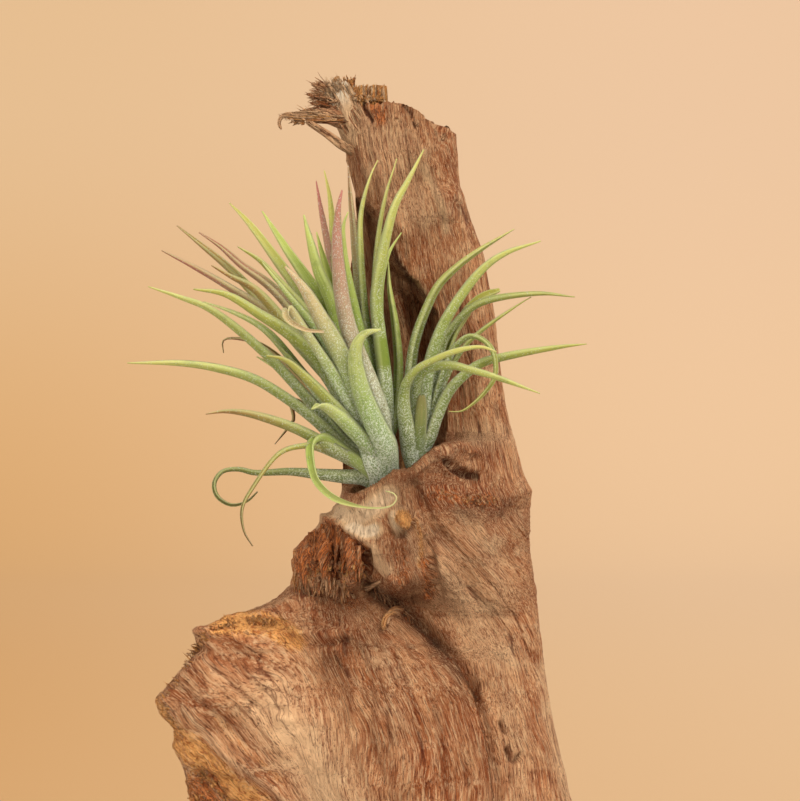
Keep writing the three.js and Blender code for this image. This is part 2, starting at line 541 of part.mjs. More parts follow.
function ringHeight(x, height) {
  if (height <= TOP_START) return height;
  const share = (height - TOP_START) / (TOP_RING - TOP_START);
  return TOP_START + share * (lookUp(TOP_EDGE, x) - TOP_START);
}

// The edges of the wood at a height, averaged over a spread up and down.
function softEdge(table, height, spread) {
  const shifts = [-1, -0.5, 0, 0.5, 1];
  return shifts.reduce((sum, shift) => sum + lookUp(table, height + shift * spread), 0) / shifts.length;
}

function fullnessAt(across) {
  return Math.max(0, 1 - Math.abs(2 * across - 1) ** EDGE_FULLNESS) ** (1 / EDGE_FULLNESS);
}

// The y of the wood's front at a place seen from the front.
function frontDepth(x, height) {
  const left = lookUp(LEFT_EDGE, height);
  const across = clamp((x - left) / (lookUp(RIGHT_EDGE, height) - left), 0, 1);
  return lookUp(SPINE, height) - frontReach(x, height) * fullnessAt(across);
}

// The ring's share 0 to 1 from the left edge to the right, drawn towards the seam.
function seamShare(share, height) {
  const left = lookUp(LEFT_EDGE, height);
  const right = lookUp(RIGHT_EDGE, height);
  const seam = height < SEAM_LINE.at(-1)[0] ? (lookUp(SEAM_LINE, height) - left) / (right - left) : 0.5;
  const drawn = lookUp(SEAM_SHARE, height);
  return share < drawn ? (share / drawn) * seam : lerp(seam, 1, (share - drawn) / (1 - drawn));
}

function woodRing(height) {
  const ring = [];
  for (let step = 0; step < 2 * RING_STEPS; step += 1) {
    const angle = (Math.PI * step) / RING_STEPS; // front first, from left to right
    const share = 0.5 - 0.5 * Math.cos(angle);
    if (step <= RING_STEPS) {
      const x = lerp(lookUp(LEFT_EDGE, height), lookUp(RIGHT_EDGE, height), seamShare(share, height));
      ring.push(new THREE.Vector3(x, frontDepth(x, height), ringHeight(x, height)));
    } else {
      const fullness = fullnessAt(share);
      const spread = BACK_SOFTNESS * Math.min(1, fullness);
      const x = lerp(softEdge(LEFT_EDGE, height, spread), softEdge(RIGHT_EDGE, height, spread), share);
      const y = lookUp(SPINE, height) + lookUp(BACK_REACH, height) * fullness * backSwell(x, height);
      ring.push(new THREE.Vector3(x, y, ringHeight(x, height)));
    }
  }
  return ring;
}

// A tapered strand of broken fibres with ragged corners.
function strandSolid({ path, widths, flat, sides }) {
  const curve = new THREE.CatmullRomCurve3(path.map((point) => new THREE.Vector3(...point)));
  const steps = Math.max(2, path.length);
  const frames = carriedFrames(curve, steps, new THREE.Vector3(0, 1, 0));
  const rings = frames.map(({ along, centre, side, normal }) => {
    const halfWidth = lerp(widths[0], widths[1], along) / 2;
    return Array.from({ length: sides }, (_, index) => {
      const angle = (2 * Math.PI * (index + 0.3)) / sides;
      const ragged = 1 + STRAND_RAG * Math.sin(5 * index + 9 * along);
      return centre.clone()
        .addScaledVector(side, Math.cos(angle) * halfWidth * ragged)
        .addScaledVector(normal, Math.sin(angle) * halfWidth * flat * ragged);
    });
  });
  return solidFrom(ringGeometry(rings));
}

function driftwood() {
  const rings = [];
  RINGS_PER_STRETCH.forEach(([from, to, count], stretch) => {
    const last = stretch === RINGS_PER_STRETCH.length - 1 ? count : count - 1;
    for (let ring = 0; ring <= last; ring += 1) rings.push(woodRing(lerp(from, to, ring / count)));
  });
  const pit = new THREE.SphereGeometry(1, 16, 12);
  pit.scale(PIT_RADIUS.x, PIT_RADIUS.y, PIT_RADIUS.z);
  pit.translate(PIT_CENTRE.x, PIT_CENTRE.y, PIT_CENTRE.z);
  let wood = solidFrom(ringGeometry(rings)).subtract(solidFrom(pit));
  const ledgeStrands = LEDGE_STRANDS.map((strand) => ({
    ...strand,
    path: strand.path.map(([x, clear, height]) => [x, frontDepth(x, height) - clear, height]),
  }));
  for (const strand of [...TOP_STRANDS, ...ledgeStrands]) wood = wood.add(strandSolid(strand));
  return new THREE.Mesh(geometryFrom(wholeBody(wood)), DRIFTWOOD);
}

// --------------------------------------------------------------- the plant

// How far a curve's direction turns in all, in full turns.
function turnsOf(curve) {
  const tangents = Array.from({ length: 25 }, (_, index) => curve.getTangentAt(index / 24));
  const bends = tangents.slice(1).map((tangent, index) => tangent.angleTo(tangents[index]));
  return bends.reduce((sum, bend) => sum + bend, 0) / (2 * Math.PI);
}

// One channelled, tapering leaf: a five-cornered crescent carried along its path.
function leafSolid({ width, curve, inward, taper = FULL_TAPER }) {
  const wanted = curve.getLength() * LEAF_STEPS_PER_MM + turnsOf(curve) * LEAF_STEPS_PER_TURN;
  const steps = clamp(Math.round(wanted), ...LEAF_STEPS);
  const rings = carriedFrames(curve, steps, inward).map(({ along, centre, side, normal }) => {
    const blade = Math.max(THINNEST, width * lookUp(taper, along));
    const thickness = Math.max(THINNEST, blade * BLADE_THICKNESS);
    const outer = -blade * CHANNEL_DEPTH;
    const corners = [
      [-0.5 * blade, blade * CHANNEL_RISE], [-BACK_HALF * blade, outer], [BACK_HALF * blade, outer],
      [0.5 * blade, blade * CHANNEL_RISE], [0, outer + thickness],
    ];
    return corners.map(([across, up]) => (
      centre.clone().addScaledVector(side, across).addScaledVector(normal, up)
    ));
  });
  return solidFrom(ringGeometry(rings));
}

// A parabola with the given values at 0, one half and 1.
function arcThrough([start, middle, end]) {
  const handle = 2 * middle - (start + end) / 2;
  return (along) => (1 - along) ** 2 * start + 2 * along * (1 - along) * handle + along ** 2 * end;
}

function drawnCurve({ path, reach }, root) {
  const arc = arcThrough(reach);
  const points = path.map(([x, height], index) => {
    const along = index / (path.length - 1);
    return new THREE.Vector3(x, arc(along), height);
  });
  return new THREE.CatmullRomCurve3([root, ...points], false, "centripetal");
}

function inwardOf(curve, stock) {
  const axis = stock.head.clone().sub(stock.foot).normalize();
  const out = curve.getPointAt(0.6).sub(stock.foot);
  return out.addScaledVector(axis, -out.dot(axis)).negate().normalize();
}

function farLeaves(stock) {
  const random = seededRandom(FAR_LEAVES.seed);
  const between = ([low, high]) => lerp(low, high, random());
  return Array.from({ length: FAR_LEAVES.count }, (_, index) => {
    const turn = Math.PI * lerp(...FAR_LEAVES.turn, (index + 0.5 * random()) / FAR_LEAVES.count);
    const lift = between(FAR_LEAVES.lift);
    const length = between(FAR_LEAVES.length);
    const out = new THREE.Vector3(Math.cos(turn), Math.sin(turn), 0);
    const root = stock.foot.clone().lerp(stock.head, between(FAR_LEAVES.root));
    const rise = new THREE.Vector3(0, 0, length * Math.sin(lift));
    const tip = root.clone().addScaledVector(out, length * Math.cos(lift)).add(rise);
    const lifted = new THREE.Vector3(0, 0, between(FAR_LEAVES.sag));
    const knee = root.clone().lerp(tip, FAR_LEAVES.knee).add(lifted);
    return { width: between(FAR_LEAVES.width), curve: new THREE.QuadraticBezierCurve3(root, knee, tip) };
  });
}

function stockSolid({ foot, head, radius }) {
  const axis = head.clone().sub(foot);
  const stock = new THREE.CapsuleGeometry(radius, axis.length() - 2 * radius, 4, 10);
  const upright = new THREE.Vector3(0, 1, 0);
  stock.applyQuaternion(new THREE.Quaternion().setFromUnitVectors(upright, axis.clone().normalize()));
  stock.translate(...foot.clone().lerp(head, 0.5).toArray());
  return solidFrom(stock);
}

function rosette(leaves, stock, further, material) {
  const drawn = leaves.map((leaf) => {
    const [, start] = leaf.path[0];
    const share = (start - stock.foot.z - ROOT_DROP) / (stock.head.z - stock.foot.z);
    const curve = drawnCurve(leaf, stock.foot.clone().lerp(stock.head, clamp(share, ...ROOT_SHARE)));
    return { width: leaf.width, taper: leaf.taper, curve };
  });
  let plant = stockSolid(stock);
  for (const leaf of [...drawn, ...further]) {
    plant = plant.add(leafSolid({ ...leaf, inward: inwardOf(leaf.curve, stock) }));
  }
  return new THREE.Mesh(geometryFrom(wholeBody(plant)), material);
}

// ---------------------------------------------------------------- assembly

const group = new THREE.Group();
const parts = {
  driftwood: driftwood(),
  rosette_main: rosette(MAIN_LEAVES, MAIN_STOCK, farLeaves(MAIN_STOCK), SILVER_LEAF),
  rosette_side: rosette(SIDE_LEAVES, SIDE_STOCK, [], GREEN_LEAF),
};
for (const [name, mesh] of Object.entries(parts)) {
  mesh.name = name;
  group.add(mesh);
}

export default group;
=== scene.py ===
"""An air plant growing from a pit in a piece of driftwood, dressed for a soft studio picture.

Sizes are written in millimetres, as the object would be measured, and become metres where
Blender takes them. The viewer is on -Y, and +Z is up.
"""

import logging
import math
from collections.abc import Callable
from dataclasses import dataclass, field
from enum import Enum

import bpy
import numpy as np
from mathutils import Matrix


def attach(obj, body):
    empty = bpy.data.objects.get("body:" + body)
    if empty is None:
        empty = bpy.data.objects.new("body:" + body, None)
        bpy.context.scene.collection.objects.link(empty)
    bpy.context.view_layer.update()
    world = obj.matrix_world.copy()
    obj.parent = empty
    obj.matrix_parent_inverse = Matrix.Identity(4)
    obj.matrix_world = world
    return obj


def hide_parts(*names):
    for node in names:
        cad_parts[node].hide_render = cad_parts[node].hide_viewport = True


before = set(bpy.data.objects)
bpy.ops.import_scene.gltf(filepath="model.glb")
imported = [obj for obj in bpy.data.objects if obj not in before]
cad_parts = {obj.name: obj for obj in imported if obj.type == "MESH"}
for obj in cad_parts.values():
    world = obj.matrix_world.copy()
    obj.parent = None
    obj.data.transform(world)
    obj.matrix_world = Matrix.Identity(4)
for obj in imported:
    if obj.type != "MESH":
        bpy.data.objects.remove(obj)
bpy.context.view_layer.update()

MM = 0.001
TINY = 1e-9
CURVE_STEPS = 24
LATTICE_PRIMES = (73856093, 19349663, 83492791)
SEED_PRIME = 26544357
MIXING_PRIME = 1274126177
FINER = 2.03
WEAKER = 0.55
LAYER_SHIFT = 17.3
RANDOM_FACTOR = 1664525
RANDOM_STEP = 1013904223
RANDOM_RANGE = 2**32
# the colour marks: real stains and tints, with painted shade in recesses and under overhangs, and painted
# light on one pale patch
TINTS = ("dark_wood_and_painted_shade", "pale", "orange", "rust", "painted_recess_shade", "crack")

Array = np.ndarray
Span = tuple[float, float]
Point = tuple[float, float, float]
Colour = tuple[float, float, float]
Table = tuple[Span, ...]
Heights = tuple[tuple[str, float], ...]
Socket = bpy.types.NodeSocket
Material = bpy.types.Material
Piece = bpy.types.Object
Random = np.random.Generator
log = logging.getLogger("air_plant")


# ---- helpers


def look_up(table: Table, key: Array | float) -> Array:
    """Reads a table of (key, value) rows, in rising order of key, in straight lines between them."""
    keys, values = zip(*table)
    return np.interp(key, keys, values)


def smoothstep(value: Array, low: float | Array, high: float | Array) -> Array:
    """Rises smoothly from 0 where the value is low to 1 where it is high."""
    share = np.clip((value - low) / (high - low), 0, 1)
    return share * share * (3 - 2 * share)


def fade(gap: Array, width: float, edge: float = 2) -> Array:
    """Falls from 1 to 0 as the gap grows, over a width and with a soft (2) or sharp (6) edge."""
    return np.exp(-((gap / width) ** edge))


def lattice_noise(points: Array, seed: int) -> Array:
    """Gives smooth repeatable noise from random values on a whole-number lattice.

    Args:
        points: places, one per row, of 3 coordinates.
        seed: which noise.

    Returns:
        One value from -1 to 1 per place.
    """
    cell = np.floor(points).astype(np.int64)
    ease = smoothstep(points - cell, 0, 1)
    total = np.zeros(len(points))
    for corner in range(8):
        step = np.array([corner & 1, (corner >> 1) & 1, (corner >> 2) & 1])
        mixed = seed * SEED_PRIME
        for axis, prime in enumerate(LATTICE_PRIMES):
            mixed = mixed ^ (cell + step)[:, axis] * prime
        mixed = (mixed ^ (mixed >> 13)) * MIXING_PRIME & 0xFFFFFFFF
        value = ((mixed ^ (mixed >> 16)) & 0xFFFFFF) / 0x7FFFFF - 1
        total += value * np.prod(np.where(step == 1, ease, 1 - ease), axis=1)
    return total


def layered_noise(points: Array, seed: int, layers: int) -> Array:
    """Adds finer and weaker noises to each other.

    Args:
        points: places, of shape (..., 3).
        seed: which noise.
        layers: how many sizes of it.

    Returns:
        One value of about -1 to 1 per place.
    """
    flat = points.reshape(-1, 3)
    total = np.zeros(len(flat))
    for layer in range(layers):
        finer = flat * FINER**layer + LAYER_SHIFT * layer
        total += lattice_noise(finer, seed + layer) * WEAKER**layer
    return (total / sum(WEAKER**layer for layer in range(layers))).reshape(points.shape[:-1])


def repeatable_random(seed: int) -> Callable[[], float]:
    """Makes small repeatable random numbers.

    Args:
        seed: where they start.

    Returns:
        A function that gives the next one, from 0 to 1.
    """
    state = seed

    def following() -> float:
        """Steps to the next number."""
        nonlocal state
        state = (state * RANDOM_FACTOR + RANDOM_STEP) % RANDOM_RANGE
        return state / RANDOM_RANGE

    return following


def distance_to_path(path: Table, x: Array, height: Array) -> Array:
    """Measures how far places are from a path of straight stretches, seen from the front.

    Args:
        path: the path's points, as (x, height).
        x: the places' x.
        height: the places' height.

    Returns:
        The distance of each place.
    """
    nearest = np.full(np.shape(x), np.inf)
    for (ax, az), (bx, bz) in zip(path, path[1:]):
        squared = (bx - ax) ** 2 + (bz - az) ** 2
        along = np.clip(((x - ax) * (bx - ax) + (height - az) * (bz - az)) / squared, 0, 1)
        gap = np.hypot(x - ax - along * (bx - ax), height - az - along * (bz - az))
        nearest = np.minimum(nearest, gap)
    return nearest


def smooth_path(points: Array, count: int) -> Array:
    """Lays a smooth curve through points and divides it into even steps.

    Args:
        points: the points that it passes through, one per row.
        count: how many even steps it gets.

    Returns:
        The count + 1 points of the curve.
    """
    ends = np.vstack([2 * points[0] - points[1], points, 2 * points[-1] - points[-2]])
    fine = []
    for index in range(1, len(ends) - 2):
        p0, p1, p2, p3 = ends[index - 1 : index + 3]
        t1, t2, t3 = (max(np.linalg.norm(b - a), TINY) ** 0.5 for a, b in ((p0, p1), (p1, p2), (p2, p3)))
        slope1 = (p1 - p0) / t1 - (p2 - p0) / (t1 + t2) + (p2 - p1) / t2
        slope2 = (p2 - p1) / t2 - (p3 - p1) / (t2 + t3) + (p3 - p2) / t3
        for share in np.linspace(0, 1, CURVE_STEPS, endpoint=False):
            square, cube = share**2, share**3
            fine.append(
                p1 * (2 * cube - 3 * square + 1)
                + slope1 * t2 * (cube - 2 * square + share)
                + p2 * (3 * square - 2 * cube)
                + slope2 * t2 * (cube - square)
            )
    fine = np.array(fine + [points[-1]])
    travelled = np.concatenate([[0], np.cumsum(np.linalg.norm(np.diff(fine, axis=0), axis=1))])
    wanted = np.linspace(0, travelled[-1], count + 1)
    return np.stack([np.interp(wanted, travelled, fine[:, axis]) for axis in range(3)], axis=1)


def carried_frames(centres: Array, inward: Array) -> tuple[Array, Array]:
    """Carries a side and an inward axis along a curve without twisting them.

    Args:
        centres: the curve's points.
        inward: the inward axis wanted at its start.

    Returns:
        The side axes and the inward axes, one per point.
    """
    tangents = np.gradient(centres, axis=0)
    tangents /= np.linalg.norm(tangents, axis=1)[:, None]
    sides, normals = [], []
    normal = inward
    for tangent in tangents:
        normal = normal - normal.dot(tangent) * tangent
        normal = normal / np.linalg.norm(normal)
        sides.append(np.cross(normal, tangent))
        normals.append(normal)
    return np.array(sides), np.array(normals)


@dataclass
class Skin:
    """A growing mesh: places in millimetres, faces, and a value per place for each named mark."""

    places: list[Array] = field(default_factory=list)
    faces: list[tuple[int, ...]] = field(default_factory=list)
    marks: dict[str, list[Array]] = field(default_factory=dict)
    count: int = 0

    def add_tube(self, rings: Array, marks: dict[str, Array]) -> None:
        """Adds a closed tube of rings.

        Args:
            rings: places of shape (rings, sides, 3), each ring counted the same way round.
            marks: values of shape (rings, sides) or (rings, sides, 3) by name.
        """
        ring_count, sides = rings.shape[:2]
        start = self.count
        index = start + np.arange(ring_count * sides).reshape(ring_count, sides)
        a, b = index[:-1], np.roll(index, -1, axis=1)[:-1]
        c, d = np.roll(index, -1, axis=1)[1:], index[1:]
        self.faces.extend(map(tuple, np.stack([a, b, c, d], axis=-1).reshape(-1, 4).tolist()))
        self.faces.append(tuple(index[0][::-1].tolist()))
        self.faces.append(tuple(index[-1].tolist()))
        self.places.append(rings.reshape(-1, 3))
        for name, values in marks.items():
            self.marks.setdefault(name, []).append(values.reshape((-1, *values.shape[2:])))
        self.count += ring_count * sides

    def build(self, name: str, material: Material, slot: str) -> Piece:
        """Makes the object from what was added, riding with the frame.

        Args:
            name: the piece's name.
            material: its finish.
            slot: the record's material slot. It is not used.

        Returns:
            The new object.
        """
        mesh = bpy.data.meshes.new(name)
        mesh.from_pydata((np.vstack(self.places) * MM).tolist(), [], self.faces)
        for mark, parts in self.marks.items():
            values = np.concatenate(parts)
            kind, key = ("FLOAT_VECTOR", "vector") if values.ndim == 2 else ("FLOAT", "value")
            layer = mesh.attributes.new(mark, kind, "POINT")
            layer.data.foreach_set(key, np.ascontiguousarray(values, dtype=np.float32).ravel())
        mesh.polygons.foreach_set("use_smooth", [True] * len(mesh.polygons))
        mesh.materials.append(material)
        mesh.update()
        piece = bpy.data.objects.new(name, mesh)
        bpy.context.scene.collection.objects.link(piece)
        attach(piece, "root")
        return piece


@dataclass(frozen=True)
class Texture:
    """A noise of a finish: how many finer layers it has, how strong those are, its size in cells
    per unit, how much it distorts itself, and how it is scaled along its three axes.
    """

    detail: float
    rough: float
    scale: float = 1.0
    bend: float = 0
    stretch: Point | None = None


@dataclass(frozen=True)
class Coat:
    """A tint that is laid on by a value: the span from where it is bare to where it covers, how
    strong it then is, and the tint.
    """

    span: Span
    strength: float
    tint: Colour


class NodeSketch:
    """A short way to lay out a material's nodes."""

    mix_share: int = 0
    mix_under: int = 6
    mix_over: int = 7
    mix_result: int = 2

    def __init__(self, name: str) -> None:
        """Starts a material whose one shader is a Principled BSDF.

        Args:
            name: the material's name.
        """
        self.material = bpy.data.materials.new(name)
        self.material.use_nodes = True
        self.tree = self.material.node_tree
        self.shader = self.tree.nodes["Principled BSDF"]

    def node(self, kind: str, **settings: object) -> bpy.types.Node:
        """Adds a node and sets its properties."""
        made = self.tree.nodes.new(kind)
        for key, value in settings.items():
            setattr(made, key, value)
        return made

    def feed(self, socket: Socket, value: object) -> None:
        """Links a socket to another, or gives it a plain value.

        Args:
            socket: the socket that takes the value.
            value: an output socket, a number, or a colour or vector.
        """
        if isinstance(value, Socket):
            self.tree.links.new(value, socket)
        elif isinstance(value, tuple) and socket.type == "RGBA":
            socket.default_value = (*value, 1.0)
        else:
            socket.default_value = value

    def set_inputs(self, node: bpy.types.Node, settings: dict[str, object]) -> None:
        """Feeds a node's inputs by name."""
        for name, value in settings.items():
            self.feed(node.inputs[name], value)

    def mark(self, name: str, vector: bool = False) -> Socket:
        """Reads one of the mesh's marks."""
        return self.node("ShaderNodeAttribute", attribute_name=name).outputs["Vector" if vector else "Fac"]

    def noise(self, vector: Socket, texture: Texture) -> Socket:
        """Adds a noise.

        Args:
            vector: where it is read.
            texture: its settings.

        Returns:
            Its value, about 0.5 on average.
        """
        if texture.stretch is not None:
            mapping = self.node("ShaderNodeMapping")
            self.set_inputs(mapping, {"Vector": vector, "Scale": texture.stretch})
            vector = mapping.outputs["Vector"]
        noise = self.node("ShaderNodeTexNoise")
        self.set_inputs(noise, {
            "Vector": vector,
            "Scale": texture.scale,
            "Detail": texture.detail,
            "Roughness": texture.rough,
            "Distortion": texture.bend,
        })
        return noise.outputs["Fac"]

    def cells(self, vector: Socket, scale: float) -> tuple[Socket, Socket]:
        """Scatters points.

        Args:
            vector: where they are read.
            scale: how many lie along a unit.

        Returns:
            The distance to the nearest of them, and its own random value.
        """
        cells = self.node("ShaderNodeTexVoronoi")
        self.set_inputs(cells, {"Vector": vector, "Scale": scale})
        parts = self.node("ShaderNodeSeparateColor")
        self.set_inputs(parts, {"Color": cells.outputs["Color"]})
        return cells.outputs["Distance"], parts.outputs["Red"]

    def ease(self, value: object, low: float, high: float) -> Socket:
        """Maps low to 0 and high to 1, smoothly and with no overshoot."""
        ranged = self.node("ShaderNodeMapRange", interpolation_type="SMOOTHSTEP")
        self.set_inputs(ranged, {"Value": value, "From Min": low, "From Max": high})
        return ranged.outputs["Result"]

    def work(self, kind: str, *values: object) -> Socket:
        """Works out one sum, such as ADD or MAXIMUM."""
        worked = self.node("ShaderNodeMath", operation=kind)
        for socket, value in zip(worked.inputs, values):
            self.feed(socket, value)
        return worked.outputs["Value"]

    def times(self, first: object, second: object) -> Socket:
        """Multiplies two values."""
        return self.work("MULTIPLY", first, second)

    def blend(self, share: object, under: object, over: object, kind: str = "MIX") -> Socket:
        """Lays one colour over another.

        Args:
            share: how much of it covers, from 0 to 1.
            under: the colour below.
            over: the colour laid over it.
            kind: how they mix.

        Returns:
            The mixed colour.
        """
        mixed = self.node("ShaderNodeMix", data_type="RGBA", blend_type=kind)
        self.feed(mixed.inputs[self.mix_share], share)
        self.feed(mixed.inputs[self.mix_under], under)
        self.feed(mixed.inputs[self.mix_over], over)
        return mixed.outputs[self.mix_result]

    def coat(self, colour: Socket, value: Socket, coat: Coat, calm: Socket | None = None) -> Socket:
        """Lays a coat over a colour.

        Args:
            colour: the colour below.
            value: the value that lays the coat on.
            coat: which coat.
            calm: what its strength is multiplied by as well, if anything.

        Returns:
            The coated colour.
        """
        cover = self.times(self.ease(value, *coat.span), coat.strength)
        if calm is not None:
            cover = self.times(cover, calm)
        return self.blend(cover, colour, coat.tint)

    def bump(self, height: Socket, depth: float, under: Socket | None = None) -> Socket:
        """Raises the surface by a height.

        Args:
            height: the height, from 0 to 1.
            depth: what 1 stands for, in millimetres.
            under: the bump that this one lies on.

        Returns:
            The bent normal.
        """
        bump = self.node("ShaderNodeBump")
        self.set_inputs(bump, {"Distance": depth * MM, "Height": height})
        if under is not None:
            self.set_inputs(bump, {"Normal": under})
        return bump.outputs["Normal"]


def from_screen(red: int, green: int, blue: int) -> Colour:
    """Turns a colour as a screen shows it, 0 to 255, into linear light."""
    shares = (red / 255, green / 255, blue / 255)
    return tuple(share / 12.92 if share <= 0.04045 else ((share + 0.055) / 1.055) ** 2.4 for share in shares)


# ---- finishes


@dataclass(frozen=True)
class DriftwoodFinish:
    """Weathered bare wood: tan fibres, dark grain lines and rusty torn faces, with painted shade in its
    hollow, creases, slots, grooves and pits and under its overhangs, and a little painted light.
    """

    brown: Colour = from_screen(168, 97, 54)
    tan: Colour = from_screen(210, 148, 100)
    pale: Colour = from_screen(238, 194, 146)
    ridge: Colour = from_screen(240, 198, 150)
    dark_wood_and_painted_shade: Colour = from_screen(126, 58, 26)
    dark_line: Colour = from_screen(80, 27, 10)
    rust_dark: Colour = from_screen(94, 36, 16)
    rust_light: Colour = from_screen(226, 128, 62)
    orange_dark: Colour = from_screen(184, 106, 50)
    orange_light: Colour = from_screen(244, 174, 98)
    painted_recess_shade: Colour = from_screen(82, 34, 14)
    bleached: Colour = from_screen(255, 232, 198)
    roughness: float = 0.86
    specular: float = 0.2
    broad: Texture = Texture(4, 0.6, bend=0.8, stretch=(0.2, 0.2, 0.05))
    broad_span: Span = (0.36, 0.64)
    cloud: Texture = Texture(4, 0.6, scale=0.11, bend=0.5)
    cloud_coat: Coat = Coat((0.5, 0.7), 0.5, pale)
    torn: Texture = Texture(6, 0.78, bend=0.2, stretch=(1.7, 1.7, 0.6))
    torn_span: Span = (0.4, 0.58)
    crumb: Texture = Texture(5, 0.72, bend=0.3, stretch=(1.4, 1.4, 0.5))
    crumb_span: Span = (0.38, 0.56)
    ragged: Texture = Texture(5, 0.7, stretch=(0.9, 0.9, 0.3))
    ragged_gain: float = 0.9
    ragged_least: float = 0.5
    ragged_edge: Span = (0.66, 1.16)
    dark_wood_and_painted_shade_cover: float = 0.85
    pale_cover: float = 0.9
    torn_cover: float = 0.95
    painted_recess_shade_cover: float = 0.94
    bleached_span: Span = (1.1, 1.5)
    fibre: Texture = Texture(6, 0.7, bend=0.22, stretch=(1.8, 1.3, 0.06))
    fibre_ridge: Coat = Coat((0.5, 0.61), 0.46, ridge)
    fibre_groove: Coat = Coat((0.47, 0.37), 0.54, dark_wood_and_painted_shade)
    fibre_height: float = 1.2
    hair: Texture = Texture(4, 0.65, bend=0.12, stretch=(3.6, 2.6, 0.17))
    hair_ridge: Coat = Coat((0.52, 0.63), 0.46, ridge)
    hair_groove: Coat = Coat((0.46, 0.36), 0.66, dark_line)
    hair_height: float = 0.6
    fleck: Texture = Texture(4, 0.66, bend=0.3, stretch=(2.6, 2.0, 1.0))
    fleck_pit: Coat = Coat((0.43, 0.35), 0.66, dark_line)
    fleck_height: float = 0.5
    line: Texture = Texture(3, 0.62, bend=0.2, stretch=(0.5, 0.06, 0.03))
    line_middle: float = 0.5
    line_coat: Coat = Coat((0.014, 0.0), 0.6, dark_line)
    crack_coat: Coat = Coat((0.25, 0.8), 0.75, dark_line)
    calm_span: Span = (0.5, 1.0)
    calm_gain: float = -0.66

    def tinted(self, sketch: NodeSketch, grain: Socket) -> Socket:
        """Lays the broad tones, the stains, the painted shade and the painted light over each other.

        Args:
            sketch: the material.
            grain: the grain coordinates.

        Returns:
            The wood's colour before its fibres.
        """
        broad = sketch.ease(sketch.noise(grain, self.broad), *self.broad_span)
        colour = sketch.blend(broad, self.brown, self.tan)
        colour = sketch.coat(colour, sketch.noise(grain, self.cloud), self.cloud_coat)
        torn = sketch.ease(sketch.noise(grain, self.torn), *self.torn_span)
        rust = sketch.blend(torn, self.rust_dark, self.rust_light)
        crumb = sketch.ease(sketch.noise(grain, self.crumb), *self.crumb_span)
        orange = sketch.blend(crumb, self.orange_dark, self.orange_light)
        ragged = sketch.noise(grain, self.ragged)
        uneven = sketch.work("MULTIPLY_ADD", ragged, self.ragged_gain, self.ragged_least)
        stains_and_shading = (("dark_wood_and_painted_shade", self.dark_wood_and_painted_shade, self.dark_wood_and_painted_shade_cover), ("pale", self.pale, self.pale_cover))
        for mark, tint, strength in stains_and_shading:
            cover = sketch.times(sketch.times(sketch.mark(mark), uneven), strength)
            colour = sketch.blend(cover, colour, tint)
        for mark, tint in (("orange", orange), ("rust", rust)):
            cover = sketch.work("MULTIPLY_ADD", ragged, self.ragged_gain, sketch.mark(mark))
            cover = sketch.times(sketch.ease(cover, *self.ragged_edge), self.torn_cover)
            colour = sketch.blend(cover, colour, tint)
        colour = sketch.blend(sketch.ease(sketch.mark("pale"), *self.bleached_span), colour, self.bleached)
        # painted shade in the recesses, laid over all the rest
        return sketch.blend(sketch.times(sketch.mark("painted_recess_shade"), self.painted_recess_shade_cover), colour, self.painted_recess_shade)

    def make(self) -> Material:
        """Lays out the wood's nodes.

        Returns:
            The finished material.
        """
        sketch = NodeSketch("driftwood_grain")
        grain = sketch.mark("grain", vector=True)
        fibre = sketch.noise(grain, self.fibre)
        hair = sketch.noise(grain, self.hair)
        fleck = sketch.noise(grain, self.fleck)
        light = sketch.work("MAXIMUM", sketch.mark("pale"), sketch.mark("orange"))
        light = sketch.work("MAXIMUM", light, sketch.mark("rust"))
        calm = sketch.work("MULTIPLY_ADD", sketch.ease(light, *self.calm_span), self.calm_gain, 1.0)
        colour = self.tinted(sketch, grain)
        coats = (
            (fibre, self.fibre_ridge), (hair, self.hair_ridge),
            (fibre, self.fibre_groove), (hair, self.hair_groove), (fleck, self.fleck_pit),
        )
        for value, coat in coats:
            colour = sketch.coat(colour, value, coat, calm)
        away = sketch.work("SUBTRACT", sketch.noise(grain, self.line), self.line_middle)
        colour = sketch.coat(colour, sketch.work("ABSOLUTE", away), self.line_coat)
        colour = sketch.coat(colour, sketch.mark("crack"), self.crack_coat)
        relief = sketch.bump(fibre, self.fibre_height)
        relief = sketch.bump(hair, self.hair_height, relief)
        sketch.set_inputs(sketch.shader, {
            "Base Color": colour,
            "Roughness": self.roughness,
            "Specular IOR Level": self.specular,
            "Normal": sketch.bump(fleck, self.fleck_height, relief),
        })
        return sketch.material


